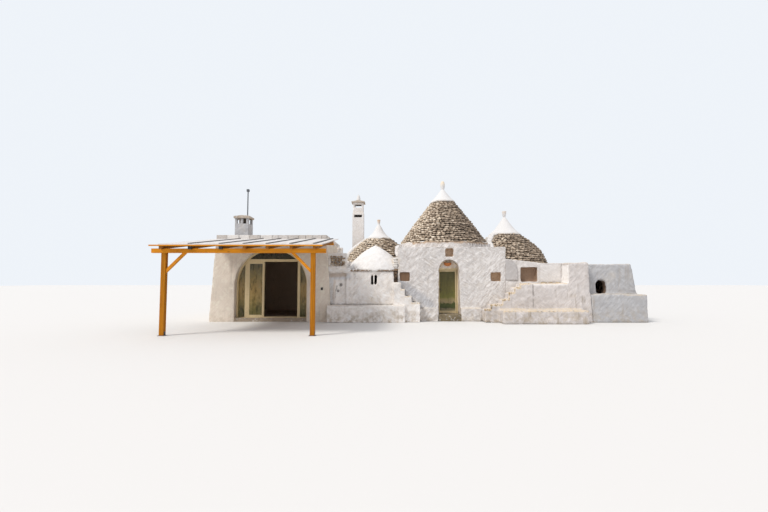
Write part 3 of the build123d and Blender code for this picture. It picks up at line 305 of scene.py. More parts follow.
def timber(name, axis, pale, deep):
    """Oiled softwood with grain along one axis, knots and drying cracks."""
    m = Finish(name, 0.5, pale, Specular_IOR_Level=0.12)
    grain = m.grain(lengthwise(axis, 26.0, 1.1), 7.0, 0.62)
    crack = m.grain(lengthwise(axis, 160.0, 3.0), 4.0)
    m.lay(deep, grain.over(0.42, 0.70) * 0.85)
    m.lay(scaled(pale, 1.25), m.grain(lengthwise(axis, 6.0, 0.6), 3.0, 0.5).over(0.5, 0.72) * 0.6)
    m.lay((0.33, 0.12, 0.02), m.noise(1.3, 3.0).over(0.52, 0.70) * 0.45)
    knots = 1.0 - m.cells(1.0, m.stretched(lengthwise(axis, 4.0, 1.6))).over(0.05, 0.13)
    m.lay((0.11, 0.040, 0.012), knots * 0.85)
    m.tint(m.ramp(crack, [(0.3, 0.62), (0.5, 1.0)]), 0.7)
    m.set("Roughness", 0.50 + grain * 0.25)
    return m.done(grain * 0.6 + crack * 0.6, 0.6, 0.004)


def varnished_joinery(name):
    """Cream varnished door timber with a faint upright grain."""
    m = Finish(name, 0.42, (0.66, 0.535, 0.31))
    grain = m.grain((60.0, 60.0, 2.2), 6.0)
    m.lay((0.52, 0.395, 0.20), grain.over(0.4, 0.75) * 0.8)
    m.lay((0.33, 0.25, 0.14), m.noise(5.0, 5.0).over(0.56, 0.76) * 0.45)
    return m.done(grain, 0.35, 0.002)


def garden_glass(name, stops, low, high, alpha, reflected_twigs):
    """Pane with a painted reflection of the garden in soft mottled tones; its stops run from height low to high."""
    m = Finish(name, 0.10, Alpha=alpha, IOR=1.45, Specular_IOR_Level=0.30)
    leaf = m.noise(7.0, 7.0, 0.7)
    reflected_branches = m.grain((9.0, 9.0, 2.6), 5.0)
    m.colour = m.ramp(m.height(low, high) + (leaf - 0.5) * (0.10 + reflected_twigs * 0.45), stops)
    m.lay((0.035, 0.040, 0.018), reflected_branches.over(0.50, 0.66) * reflected_twigs)
    gaps = 1.0 - reflected_branches.over(0.40, 0.55)
    m.lay((0.46, 0.42, 0.20), leaf.over(0.58, 0.70) * gaps * (reflected_twigs * 0.8))
    m.set("Roughness", 0.06 + m.noise(3.0, 5.0, 0.6).over(0.4, 0.9) * 0.20)
    return m.done()


def fired_clay(name):
    """Matt terracotta."""
    m = Finish(name, 0.8, (0.56, 0.20, 0.060))
    fine = m.noise(60.0, 6.0)
    m.lay((0.42, 0.135, 0.040), fine.over(0.4, 0.7))
    return m.done(fine, 0.4, 0.002)


def boards(name, light, dark, across, axis):
    """Weathered wood with its grain along one axis."""
    m = Finish(name, 0.78, light)
    grain = m.grain(lengthwise(axis, across, across * 0.04), 6.0)
    m.lay(dark, grain.over(0.35, 0.68))
    m.lay(scaled(light, 1.35), m.noise(3.0, 5.0).over(0.55, 0.75) * 0.5)
    return m.done(grain, 0.7, 0.004)


def dull_metal(name, light, dark, rough, metallic):
    """Weathered metal or rubber."""
    m = Finish(name, rough, light, Metallic=metallic)
    m.lay(dark, m.noise(12.0, 5.0, 0.6).over(0.38, 0.68))
    return m.done(m.noise(90.0, 4.0), 0.3, 0.001)


def roof_panel(name):
    """White sheet with dust in streaks down its fall, and darker blotches."""
    m = Finish(name, 0.55, (0.69, 0.66, 0.64))
    dust = m.noise(2.4, 6.0, 0.6, m.stretched((2.5, 0.7, 1.0)))
    m.lay((0.46, 0.43, 0.40), dust.over(0.40, 0.70) * 0.7)
    m.lay((0.36, 0.33, 0.30), m.noise(8.0, 6.0, 0.7).over(0.62, 0.72) * 0.4)
    return m.done(m.noise(14.0, 4.0), 0.2, 0.004)


# Tones of single stones, and the painted reflections in the panes from the lowest up: place on the ramp and colour
SLAB_TONES = [(0.0, (0.21, 0.162, 0.122)), (0.35, (0.43, 0.345, 0.262)), (0.70, (0.68, 0.565, 0.44)),
              (1.0, (0.93, 0.82, 0.67))]
BROWN_TONES = [(0.0, (0.11, 0.075, 0.050)), (0.45, (0.27, 0.185, 0.120)), (0.85, (0.45, 0.34, 0.235)),
               (1.0, (0.60, 0.49, 0.36))]
PALE_TONES = [(0.0, (0.40, 0.36, 0.32)), (0.45, (0.56, 0.52, 0.48)), (1.0, (0.68, 0.645, 0.61))]
OCHRE_TONES = [(0.0, (0.42, 0.30, 0.17)), (0.5, (0.60, 0.46, 0.28)), (1.0, (0.74, 0.64, 0.48))]
DOOR_REFLECTION = [(0.02, (0.26, 0.22, 0.13)), (0.06, (0.07, 0.085, 0.022)), (0.17, (0.075, 0.095, 0.022)),
             (0.21, (0.36, 0.28, 0.15)), (0.29, (0.30, 0.25, 0.10)), (0.34, (0.185, 0.18, 0.040)),
             (0.55, (0.150, 0.132, 0.036)), (0.95, (0.105, 0.092, 0.030))]
GARDEN_REFLECTION = [(0.04, (0.15, 0.135, 0.050)), (0.22, (0.30, 0.225, 0.085)), (0.40, (0.42, 0.29, 0.110)),
               (0.62, (0.28, 0.220, 0.095)), (0.85, (0.13, 0.125, 0.085)), (1.0, (0.06, 0.055, 0.045))]

LIME = limewash("lime_wall", (0.70, 0.67, 0.65), 0.25, recess_brown_and_shade=(0.52, 0.37, 0.245))
LIME_WING = limewash("lime_wing", (0.68, 0.65, 0.63), 0.4, relief=0.5, rain=1.5, recess_brown_and_shade=(0.30, 0.20, 0.135))
# The blind panel's lime is a darker copy of the white: painted shade on the recessed panel
LIME_PANEL_SHADED = limewash("lime_panel_shaded", (0.50, 0.475, 0.465), 0.0, dirt=0.2, relief=0.3)
LIME_HALL = limewash("lime_hall", (0.745, 0.662, 0.568), 0.15, dirt=0.45, relief=0.30, rain=2.4)
LIME_GREY = limewash("lime_grey", (0.87, 0.83, 0.79), 0.12, dirt=1.35, relief=0.6)
# Grey lime for the end room and the hall chimney: a darker copy of the white, painted shade for walls out of the sun
LIME_SHADED = limewash("lime_shaded", (0.455, 0.455, 0.465), 0.3, dirt=0.8, relief=0.5, rain=2.6,
                     recess_brown_and_shade=(0.19, 0.125, 0.085))
LIME_WORN = limewash("lime_worn", (0.635, 0.595, 0.575), 0.55, dirt=1.3, relief=0.5, rain=2.6,
                     top=(0.70, 0.58, 0.42))
LIME_DOME = limewash("lime_dome", (0.78, 0.76, 0.74), 0.2, dirt=0.3, relief=0.5, top=(0.80, 0.78, 0.76))
LIME_PLAIN = limewash("lime_plain", (0.80, 0.77, 0.745), 0.3, dirt=0.5, relief=0.5)
STONE = dry_stone("cone_slabs", SLAB_TONES)
BROWN_STONE = dry_stone("brown_rubble", BROWN_TONES)
PALE_STONE = dry_stone("parapet_blocks", PALE_TONES)
OCHRE_STONE = dry_stone("ochre_stones", OCHRE_TONES)
DARK_GAP = gap_dark("cone_core")
FLUE = gap_dark("sooty_flue")
SLAB_STONE = plain_stone("chimney_slab", (0.56, 0.49, 0.41), (0.36, 0.28, 0.21))
CORNICE_STONE = plain_stone("brown_cornice", (0.30, 0.20, 0.125), (0.17, 0.115, 0.075))
DOORSTEP = plain_stone("worn_doorstep", (0.22, 0.175, 0.105), (0.12, 0.093, 0.055))
FLOOR_STONE = plain_stone("floor_stone", (0.36, 0.29, 0.215), (0.22, 0.175, 0.13))
TIMBER_X = timber("timber_beam", 0, (0.74, 0.285, 0.016), (0.42, 0.14, 0.008))
# The rafters' timber is a darker copy of the beam's: painted shade under the roof
TIMBER_Y_SHADED = timber("timber_rafter_shaded", 1, (0.34, 0.15, 0.035), (0.16, 0.065, 0.016))
TIMBER_Z = timber("timber_post", 2, (0.44, 0.165, 0.008), (0.25, 0.085, 0.005))
JOINERY = varnished_joinery("cream_joinery")
DOOR_PANE = garden_glass("door_pane", DOOR_REFLECTION, 0.42, 2.16, 0.95, 0.28)
GARDEN_PANE = garden_glass("garden_pane", GARDEN_REFLECTION, 0.3, 2.85, 0.88, 0.70)
CLAY = fired_clay("lamp_clay")
SHUTTER = boards("shutter_boards", (0.215, 0.125, 0.070), (0.125, 0.070, 0.038), 60.0, 2)
LINING = boards("roof_lining", (0.40, 0.26, 0.12), (0.20, 0.115, 0.05), 70.0, 0)
STEEL = dull_metal("mast_steel", (0.13, 0.14, 0.155), (0.08, 0.085, 0.095), 0.6, 0.5)
DARK_STEEL = dull_metal("dark_iron", (0.055, 0.052, 0.050), (0.025, 0.023, 0.022), 0.6, 0.4)
SEAM = dull_metal("seam_strip", (0.085, 0.078, 0.075), (0.15, 0.14, 0.135), 0.8, 0.0)
PANEL = roof_panel("roof_panel")
CAP_MAIN = cap_lime("cap_main", 6.42, 6.60, (0.80, 0.66, 0.47))
CAP_LEFT = cap_lime("cap_left", 4.62, 4.82, (0.70, 0.48, 0.30))
CAP_RIGHT = cap_lime("cap_right", 5.28, 5.46, (0.78, 0.66, 0.55))


# Meshes

def show(name, data):
    """Put a mesh, a lamp or a camera into the scene."""
    made = bpy.data.objects.new(name, data)
    bpy.context.scene.collection.objects.link(made)
    return made


def add_mesh(name, mesh, material, body=HOUSE, smooth=True):
    """Show a mesh as a piece that rides on a body."""
    mesh.materials.clear()
    mesh.materials.append(material)
    mesh.polygons.foreach_set("use_smooth", [smooth] * len(mesh.polygons))
    mesh.update()
    made = show(name, mesh)
    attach(made, body)
    return made


def add_piece(name, points, faces, material, body=HOUSE, smooth=True):
    """Show points and faces as a piece that rides on a body."""
    mesh = bpy.data.meshes.new(name)
    mesh.from_pydata([tuple(p) for p in points], [], [tuple(f) for f in faces])
    return add_mesh(name, mesh, material, body, smooth)


def soften(made, width, segments=2):
    """Round a piece's sharp edges a little."""
    soft = made.modifiers.new("soft_edges", "BEVEL")
    soft.width = width
    soft.segments = segments


def store(mesh, name, values):
    """Keep one number for each point of a mesh."""
    layer = mesh.attributes.new(name, "FLOAT", "POINT")
    layer.data.foreach_set("value", np.asarray(values, np.float32))


def read(items, key):
    """Three numbers from each item of a mesh."""
    found = np.zeros(len(items) * 3, np.float32)
    items.foreach_get(key, found)
    return found.reshape(-1, 3).astype(float)


def move_points(mesh, place):
    mesh.vertices.foreach_set("co", place.astype(np.float32).ravel())
    mesh.update()


WAVE_PRIMES = np.array((374761393, 668265263, 1442695041))
WAVE_MIXER = 1274126177
WAVE_BITS = 0x7FFFFFFF


def unit(values):
    """Values held between 0 and 1."""
    return np.clip(values, 0, 1)


def waves(points, scale, seed):
    """Smooth noise between -1 and 1 at each point."""
    moved = points * np.array(scale) + seed
    base = np.floor(moved).astype(np.int64)
    part = moved - base
    part = part * part * (3 - 2 * part)
    total = np.zeros(len(points))
    for corner in product((0, 1), repeat=3):
        code = ((base + corner) * WAVE_PRIMES).sum(1) & WAVE_BITS
        code = ((code ^ (code >> 13)) * WAVE_MIXER) & WAVE_BITS
        value = ((code ^ (code >> 16)) & 0xFFFF) / 32767.5 - 1
        total += value * np.prod(np.where(corner, part, 1 - part), axis=1)
    return total


def trowel(place):
    """Diagonal trowel strokes that change direction from patch to patch."""
    x, y, z = place.T
    rising = np.stack([x * 0.8 + z * 0.6, y, z * 0.8 - x * 0.6], 1)
    falling = np.stack([x * 0.7 - z * 0.7, y, z * 0.7 + x * 0.7], 1)
    choice = unit(0.5 + 1.6 * waves(place, 0.9, 41.0))
    long_strokes = (2.2, 5.0, 8.5)
    return waves(rising, long_strokes, 5.0) * choice + waves(falling, long_strokes, 15.0) * (1 - choice)


def neighbour_mean(mesh):
    """A function that gives the mean of each point's neighbours, for rows of values."""
    ends = np.zeros(len(mesh.edges) * 2, np.int32)
    mesh.edges.foreach_get("vertices", ends)
    count = len(mesh.vertices)
    degree = np.maximum(np.bincount(ends, minlength=count), 1)[:, None]
    a, b = ends.reshape(-1, 2).T

    def mean(values):
        columns = [np.bincount(a, v[b], count) + np.bincount(b, v[a], count) for v in values.T]
        return np.stack(columns, 1) / degree

    return mean


SAME_POINT = 0.0002
SHARP_ANGLE = 0.6
EDGE_STEP = 0.03


def sharp_edges(mesh):
    """Points along a mesh's sharp edges, with each edge's direction."""
    shape = bmesh.new()
    shape.from_mesh(mesh)
    bmesh.ops.remove_doubles(shape, verts=shape.verts, dist=SAME_POINT)
    spots = []
    for edge in shape.edges:
        if len(edge.link_faces) != 2 or edge.calc_face_angle() < SHARP_ANGLE:
            continue
        start, end = edge.verts[0].co, edge.verts[1].co
        long = (end - start).length
        steps = max(1, ceil(long / EDGE_STEP))
        way = (end - start) / max(long, 1e-6)
        spots.extend((start.lerp(end, k / steps), way) for k in range(steps + 1))
    shape.free()
    return spots


def crisp(place, spots, reach):
    """Draw the points near a sharp edge onto it."""
    tree = KDTree(len(spots))
    for k, (spot, way) in enumerate(spots):
        tree.insert(spot, k)
    tree.balance()
    for k, point in enumerate(place):
        spot, index, gap = tree.find(point)
        if gap < reach * 1.3:
            way = spots[index][1]
            offset = spot - Vector(point)
            offset = offset - way * offset.dot(way)
            if offset.length < reach:
                place[k] += np.array(offset)
    return place


def remeshed(name, members, voxel):
    """Several solids as one even mesh."""
    whole = bpy.data.meshes.new(name + "_source")
    points, faces = [], []
    for member in members:
        mesh = nodes[member].data
        base = len(points)
        points.extend(tuple(v.co) for v in mesh.vertices)
        faces.extend(tuple(i + base for i in p.vertices) for p in mesh.polygons)
    whole.from_pydata(points, [], faces)
    source = show(whole.name, whole)
    remesh = source.modifiers.new("even", "REMESH")
    remesh.mode = "VOXEL"
    remesh.voxel_size = voxel
    dense = bpy.data.meshes.new_from_object(source.evaluated_get(bpy.context.evaluated_depsgraph_get()))
    bpy.data.objects.remove(source)
    dense.name = name
    return dense


def in_box(place, box):
    """1 for the points in a box of x0, x1, y0, y1, z0, z1."""
    low, high = np.array(box[0::2]), np.array(box[1::2])
    return ((place > low) & (place < high)).all(1).astype(float)


def on_line(place, x0, z0, x1, z1, width, force):
    """How near each point is, seen from the front, to a line."""
    along = np.array([x1 - x0, z1 - z0])
    rest = place[:, [0, 2]] - (x0, z0)
    share = unit(rest @ along / (along @ along))
    gap = np.hypot(*(rest - share[:, None] * along).T)
    return force * unit(1.6 - 1.1 * gap / width)


SOFT_ROUNDS = 6         # from so many rounds of smoothing on, a skin's arrises are left soft
FRONT_FACING = -0.3     # a point faces the front where its normal's y is below this


def plaster_skin(name, members, voxel, rounds, lumps, material, slot="limewash",
                 marks=(), lines=(), pits=(), sag=None, swell=0.0):
    """One lumpy skin over several solids: remeshed, its edges worn round, its faces uneven.

    lumps are the heights of broad lumps, small lumps and trowel strokes. marks are kind,
    x0, x1, y0, y1, z0, z1, value; lines are kind, x0, z0, x1, z1, width, force, on what faces
    the front; pits are centre, radius, depth; sag is height, band, drop for a rim that laps down."""
    dense = remeshed(name, members, voxel)
    mean = neighbour_mean(dense)
    place = read(dense.vertices, "co")
    if rounds < SOFT_ROUNDS:
        spots = [spot for member in members for spot in sharp_edges(nodes[member].data)]
        place = crisp(place, spots, 0.8 * voxel)
    for step in range(rounds):
        place = place + 0.3 * (mean(place) - place)
    move_points(dense, place)
    normal = read(dense.vertex_normals, "vector")
    curve = ((place - mean(place)) * normal).sum(1) / voxel
    for step in range(2):
        curve = mean(curve[:, None])[:, 0]
    broad, small, stroke = lumps
    shift = broad * waves(place, 1.7, 3.1) + small * waves(place, 5.5, 11.3) + small * 0.6 * waves(place, 12.0, 23.9)
    shift += stroke * trowel(place)
    kinds = {kind: np.zeros(len(place)) for kind in ("ochre", "soot", "shade", "inside", "recess_brown_and_shade", "fresh_lime_and_highlight", "rim")}
    for kind, *box, value in marks:
        kinds[kind] = np.maximum(kinds[kind], value * in_box(place, box))
    wobble = place + np.stack([0.02 * waves(place, 9.0, k * 7.7) for k in range(3)], 1)
    for kind, *line in lines:
        kinds[kind] = np.maximum(kinds[kind], on_line(wobble, *line) * (normal[:, 1] < FRONT_FACING))
    # Pits are pushed in and darkened with the near-black mark: painted shade in the holes
    for centre, radius, depth in pits:
        well = unit(1.5 - 1.2 * (np.linalg.norm(place - np.array(centre), axis=1) / radius))
        shift -= depth * well
        kinds["soot"] = np.maximum(kinds["soot"], well)
    shift += swell * unit(normal[:, 2] * 4 + 1)
    place = place + normal * shift[:, None]
    if sag:
        height, band, drop = sag
        rim = kinds["rim"] = unit(1 - (place[:, 2] - height) / band)
        place[:, 2] -= drop * rim * (0.6 + 0.7 * waves(place, 5.0, 31.0))
        place += normal * (0.25 * drop * rim)[:, None]
    place[:, 2] = np.maximum(place[:, 2], 0.0)
    move_points(dense, place)
    kinds.update(edge=unit(curve * 4.0), hollow=unit(-curve * 4.0), up=unit(normal[:, 2]))
    for kind, values in kinds.items():
        if values.any():
            store(dense, kind, values)
    made = add_mesh(name, dense, material)
    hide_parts(*members)


def stone_pattern():
    """A small rounded block: its points from -1 to 1, and its faces."""
    pulls = (0.0, 1.0, 0.90, 0.74)      # for a face's middle, an edge's middle and a corner
    grid = [spot for spot in product((-1, 0, 1), repeat=3) if any(spot)]
    points = [[c * pulls[sum(map(abs, spot))] for c in spot] for spot in grid]
    faces = []
    for axis, side, a, b in product(range(3), (-1, 1), (-1, 0), (-1, 0)):
        ring = []
        for u, v in ((a, b), (a + 1, b), (a + 1, b + 1), (a, b + 1)):
            spot = [0, 0, 0]
            spot[axis], spot[(axis + 1) % 3], spot[(axis + 2) % 3] = side, u, v
            ring.append(grid.index(tuple(spot)))
        faces.append(ring[::side])
    return np.array(points), faces


BLOCK_POINTS, BLOCK_FACES = stone_pattern()


def stone_heap(name, stones, material, rough=0.10, square=0.0, joint=1.0):
    """Many separate stones in one mesh. A stone is its centre, turn, half sizes, tone and lime."""
    points = []
    scatter = np.random.default_rng(11)
    reach = np.abs(BLOCK_POINTS)
    block = np.sign(BLOCK_POINTS) * np.maximum(reach, square * (reach > 0))
    for centre, turn, half, tone, lime in stones:
        shape = block * (1 + scatter.uniform(-rough, rough, block.shape))
        shape = shape * np.array(half)
        placed = shape @ np.array(Euler(turn, "XYZ").to_matrix()).T + np.array(centre)
        placed[:, 2] = np.maximum(placed[:, 2], 0.0)
        points.append(placed)
    faces = [[i + k * len(block) for i in face] for k in range(len(stones)) for face in BLOCK_FACES]
    made = add_piece(name, np.concatenate(points), faces, material, smooth=False)
    # Each stone is darkest at its corners for the joint mark: earth and painted shade where stones meet
    corner = (reach > 0.5).sum(1)
    store(made.data, "joint", joint * np.tile(np.choose(corner, (0.0, 0.0, 0.75, 1.0)), len(stones)))
    store(made.data, "tone", np.repeat([stone[3] for stone in stones], len(block)))
    store(made.data, "limed", np.repeat([stone[4] for stone in stones], len(block)))
    return made


BOX_FACES = ((0, 1, 3, 2), (4, 6, 7, 5), (0, 4, 5, 1), (2, 3, 7, 6), (0, 2, 6, 4), (1, 5, 7, 3))


def joined_boxes(name, boxes, material, bevel, body=HOUSE, segments=2, move=None):
    """Bevelled boxes, each x0, x1, y0, y1, z0, z1, in one mesh. move gives a corner's final place."""
    points = [(x, y, z) for box in boxes for x in box[:2] for y in box[2:4] for z in box[4:]]
    if move:
        points = [move(*point) for point in points]
    faces = [[i + 8 * k for i in face] for k in range(len(boxes)) for face in BOX_FACES]
    soften(add_piece(name, points, faces, material, body, smooth=False), bevel, segments)


def ring_faces(rows, across, shut=None):
    """Faces between rows of points, so many across, with both ends closed.

    The first shut bands go all the way round; the others leave out the last face."""
    faces = []
    for row in range(rows - 1):
        for k in range(across - (shut is not None and row >= shut)):
            a, b = row * across + k, row * across + (k + 1) % across
            faces.append((a, b, b + across, a + across))
    last = (rows - 1) * across
    return faces + [tuple(range(across))[::-1], tuple(range(last, last + across))]


RIB_POINTS = 9
RIB_FOOT = 0.10         # how deep a rib's edges go into what is under it


def plaster_rib(name, spine, material):
    """A raised band of plaster. The spine's stations are point, outward way, half width, height."""
    points = []
    for k, (spot, out, half, tall) in enumerate(spine):
        spot, out = Vector(spot), Vector(out).normalized()
        before = Vector(spine[max(k - 1, 0)][0])
        after = Vector(spine[min(k + 1, len(spine) - 1)][0])
        side = (after - before).cross(out).normalized()
        for i in range(RIB_POINTS):
            u = -1 + 2 * i / (RIB_POINTS - 1)
            rise = tall * sqrt(max(1 - u * u, 0)) - RIB_FOOT * (abs(u) == 1)
            sway = 0.03 * sin(k * 1.3 + i * 0.9)
            points.append(spot + side * (u * half + sway) + out * (rise + 0.010 * sin(k * 2.1 + i)))
    made = add_piece(name, points, ring_faces(len(spine), RIB_POINTS), material)
    soft = made.modifiers.new("round", "SUBSURF")
    soft.levels = 2
    soft.render_levels = 2


def turned(name, axis, profile, material, sides=56, lumps=0.004):
    """A lumpy turned piece from its outline of radius and height, lowest first."""
    x, y = axis
    turns = [tau * k / sides for k in range(sides)]
    points = np.array([(x + r * cos(t), y + r * sin(t), z) for r, z in profile for t in turns])
    away = points - np.array((x, y, 0.0))
    away[:, 2] = 0
    away /= np.maximum(np.linalg.norm(away, axis=1), 1e-6)[:, None]
    shift = lumps * (waves(points, 2.5, 4.0) * 1.6 + waves(points, 7.0, 14.0) + 0.5 * waves(points, 19.0, 24.0))
    faces = ring_faces(len(profile), sides)
    return add_piece(name, points + away * shift[:, None], faces, material)


# The stone cones. foot and top are radii, bulge is a share of the foot's.

Cone = namedtuple("Cone", "node axis foot top bulge courses")
MAIN_CONE = Cone("main_cone", (0.095, 2.40), 2.16, 0.53, 0.015, 22)
LEFT_CONE = Cone("left_cone", (-3.11, 3.10), 1.78, 0.55, 0.10, 13)
RIGHT_CONE = Cone("right_cone", (3.67, 4.10), 2.15, 0.70, 0.14, 16)
SLAB_DEPTH = 0.30
SLAB_WIDTH = 0.185
CORE_SETBACK = 0.13
DRUM_REACH = 2.34       # radius that the other cones' slabs keep clear of, round the main drum
MAIN_RISE = 2.18        # height of the main cone over its drum


def cone_radius(cone, share, sine=sin):
    """Radius of a cone at a share of its height."""
    return cone.foot + (cone.top - cone.foot) * share + cone.bulge * cone.foot * sine(pi * share)


def cone_spot(cone, angle, share, out):
    """A point at a distance out from a cone's face."""
    low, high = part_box(cone.node)
    radius = cone_radius(cone, share) + out
    x, y = cone.axis
    return (x + radius * cos(angle), y + radius * sin(angle), low.z + (high.z - low.z) * share)


def cone_core(cone):
    """The solid cone with its outer face drawn in, near-black behind the slabs as painted shade in the gaps."""
    shape = nodes[cone.node].data
    place = read(shape.vertices, "co")
    low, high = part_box(cone.node)
    share = unit((place[:, 2] - low.z) / (high.z - low.z))
    away = place[:, :2] - np.array(cone.axis)
    radius = np.hypot(*away.T)
    moved = np.where(radius > cone_radius(cone, share, np.sin) * 0.86, radius - CORE_SETBACK, radius)
    place[:, :2] = np.array(cone.axis) + away * (moved / np.maximum(radius, 1e-6))[:, None]
    faces = [tuple(p.vertices) for p in shape.polygons]
    core = add_piece(cone.node + "_core", place, faces, DARK_GAP, smooth=False)
    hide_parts(cone.node)


def slab_cone(cone, seed, limed, keep, pale):
    """Courses of separate slabs laid round a cone, each set back from the one below."""
    low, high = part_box(cone.node)
    rise = (high.z - low.z) / cone.courses
    dice = np.random.default_rng(seed)
    stones = []
    for k in range(cone.courses):
        radius = cone_radius(cone, k / cone.courses)
        count = max(9, round(2 * pi * radius / SLAB_WIDTH))
        widths = dice.uniform(0.55, 1.45, count)
        widths *= 2 * pi / widths.sum()
        angle = dice.uniform(0, tau)
        for width in widths:
            mid = angle + width / 2
            angle += width
            out = radius - SLAB_DEPTH / 2 + dice.uniform(-0.018, 0.016)
            spot = (cone.axis[0] + out * cos(mid), cone.axis[1] + out * sin(mid),
                    low.z + (k + 0.5) * rise + dice.uniform(-0.020, 0.020))
            if not keep(spot):
                continue
            lime = limed(mid % tau, k)
            turn = (dice.uniform(-0.15, 0.15), dice.uniform(0.02, 0.14), mid + dice.uniform(-0.12, 0.12))
            half = (SLAB_DEPTH / 2, width * radius / 2 * dice.uniform(0.86, 0.99),
                    rise / 2 * dice.uniform(0.72, 1.04))
            # A slab's tone is random and lifted by pale; the cos term paints the cone's left lighter and its right
            # darker, painted sunlight from the left
            tone = unit(dice.beta(2.3, 2.2) * 0.95 + pale - 0.36 * cos(mid))
            stones.append((spot, turn, half, tone, lime))
    stone_heap(cone.node + "_slabs", stones, STONE, rough=0.13)
    cone_core(cone)


def make_slabs():
    """Slabs on the three cones, left out where a neighbour stands; lime splashed on some."""
    main_x, main_y = MAIN_CONE.axis
    block_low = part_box("main_side_walls")[0]
    block_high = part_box("main_back_wall")[1]
    drum_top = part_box("main_drum")[1].z
    shaft_low, shaft_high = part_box("tall_chimney")
    nook_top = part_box("left_room_walls")[1].z
    dice = np.random.default_rng(5)

    def clear_of_main(spot):
        x, y, z = spot
        reach = hypot(x - main_x, y - main_y)
        over_block = block_low.x - 0.10 < x < block_high.x + 0.10 and y < block_high.y and z < block_high.z
        in_drum = reach < DRUM_REACH and z < drum_top
        in_cone = z > drum_top and reach < cone_radius(MAIN_CONE, (z - drum_top) / MAIN_RISE) + 0.05
        return not (over_block or in_drum or in_cone)

    def clear_of_shaft(spot):
        x, y, z = spot
        over_shaft = shaft_low.x - 0.1 < x < shaft_high.x + 0.1 and shaft_low.y - 0.1 < y < shaft_high.y + 0.1
        in_nook = y < 1.35 and z < nook_top
        return clear_of_main(spot) and not over_shaft and not in_nook

    def first_course(angle, k):
        return dice.uniform(0.0, 0.9) if k == 0 and dice.uniform() < 0.35 else 0.0

    def valley_lime(angle, k):
        return 0.9 if abs(angle - pi - 0.25) < 0.45 else first_course(angle, k)

    slab_cone(MAIN_CONE, 7, first_course, lambda spot: True, 0.05)
    slab_cone(LEFT_CONE, 8, lambda angle, k: 0.0, clear_of_shaft, 0.28)
    slab_cone(RIGHT_CONE, 9, valley_lime, clear_of_main, 0.06)


# Ribs beside the cones: name, cone, then angle, share of the height and half width, from end to end
RIBS = (("left_rib", LEFT_CONE, (pi + 0.02, pi + 0.40), (1.0, 0.12), (0.07, 0.16)),
        ("right_rib", RIGHT_CONE, (pi + 0.40, pi + 1.06), (1.0, 0.36), (0.22, 0.15)))
RIB_STEPS = 12


def make_ribs():
    """Plaster bands beside two cones, the lip under the bare patch, the left room's shoulder."""
    for name, cone, *ends in RIBS:
        spine = []
        for k in range(RIB_STEPS + 1):
            angle, share, half = (first + (last - first) * (k / RIB_STEPS) for first, last in ends)
            out = (cos(angle), sin(angle), 0.55)
            spine.append((cone_spot(cone, angle, share, 0.05), out, half * (1 + 0.15 * sin(k * 1.9)), 0.085))
        plaster_rib(name, spine, LIME_DOME)
    lip = [((-5.19 + 0.115 * k, -0.130, 2.185 + 0.016 * sin(k * 1.7)), (0, -1, 0.10),
            0.130 + 0.025 * sin(k * 0.8 + 1), 0.150) for k in range(9)]
    plaster_rib("link_lip", lip, LIME_PLAIN)
    shoulder = [((-2.20 + 0.02 * sin(k), 0.30 + 0.24 * k, 2.80 + 0.085 * k), (-0.5, -0.6, 0.7),
                 0.19 - 0.008 * k, 0.10) for k in range(8)]
    plaster_rib("left_shoulder", shoulder, LIME)


CAP_RINGS = 54
CAP_TUCK = 0.22         # how far the underside runs in from the foot
CAP_RIM = 0.07          # height of the rim, which droops over the stones
CAP_DROOP = 0.030


def turned_cap(node, axis, material, draw, flare):
    """A cone's white cap, turned to the solid's outline: drawn in at its waist, wider at its foot."""
    place = read(nodes[node].data.vertices, "co")
    radius = np.hypot(place[:, 0] - axis[0], place[:, 1] - axis[1])
    levels = np.unique(np.round(place[:, 2], 3))
    reach = np.array([radius[np.abs(place[:, 2] - z) < 0.002].max() for z in levels])
    foot, top = levels[0], levels[-1]
    keep = reach > 0.004
    levels, reach = levels[keep], reach[keep]
    base = reach[0]
    neck = levels[np.argmin(np.where(levels < foot + 0.75 * (top - foot), reach, 9.0))]
    outline = [(base - CAP_TUCK, foot - 0.045), (base + flare - 0.05, foot - 0.060),
               (base + flare - 0.012, foot - 0.045), (base + flare, foot - 0.012)]
    for z in np.linspace(foot + 0.012, top - 0.004, CAP_RINGS):
        r = np.interp(z, levels, reach)
        share = unit((z - foot) / (neck - foot))
        r *= 1 - draw * sin(pi * share)
        r += flare * max(0.0, 1 - (z - foot) / (0.30 * (neck - foot))) ** 1.5
        outline.append((r, z))
    outline.append((outline[-1][0] * 0.55, top))
    made = turned(node + "_skin", axis, outline, material)
    place = read(made.data.vertices, "co")
    rim = unit(1 - (place[:, 2] - foot) / CAP_RIM)
    place[:, 2] -= CAP_DROOP * rim * (0.5 + waves(place, 4.2, 9.0))
    move_points(made.data, place)
    store(made.data, "rim", rim)
    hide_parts(node)


def make_caps():
    """The white caps of the three cones."""
    turned_cap("main_cap", MAIN_CONE.axis, CAP_MAIN, 0.0, 0.035)
    turned_cap("left_cap", LEFT_CONE.axis, CAP_LEFT, 0.15, 0.060)
    turned_cap("right_cap", RIGHT_CONE.axis, CAP_RIGHT, 0.0, 0.085)


# Plaster: what each skin is marked with, in the terms of plaster_skin

# Treads of the right stair and the left stair: left end, right end and height
RIGHT_TREADS = ((1.35, 1.61, 0.55), (1.61, 2.08, 0.745), (2.08, 2.37, 0.96), (2.37, 2.60, 1.24),
                (2.60, 2.85, 1.46), (2.85, 3.25, 1.62))
LEFT_TREADS = ((-2.13, -1.96, 1.38), (-1.96, -1.68, 1.09), (-1.68, -1.31, 0.82))
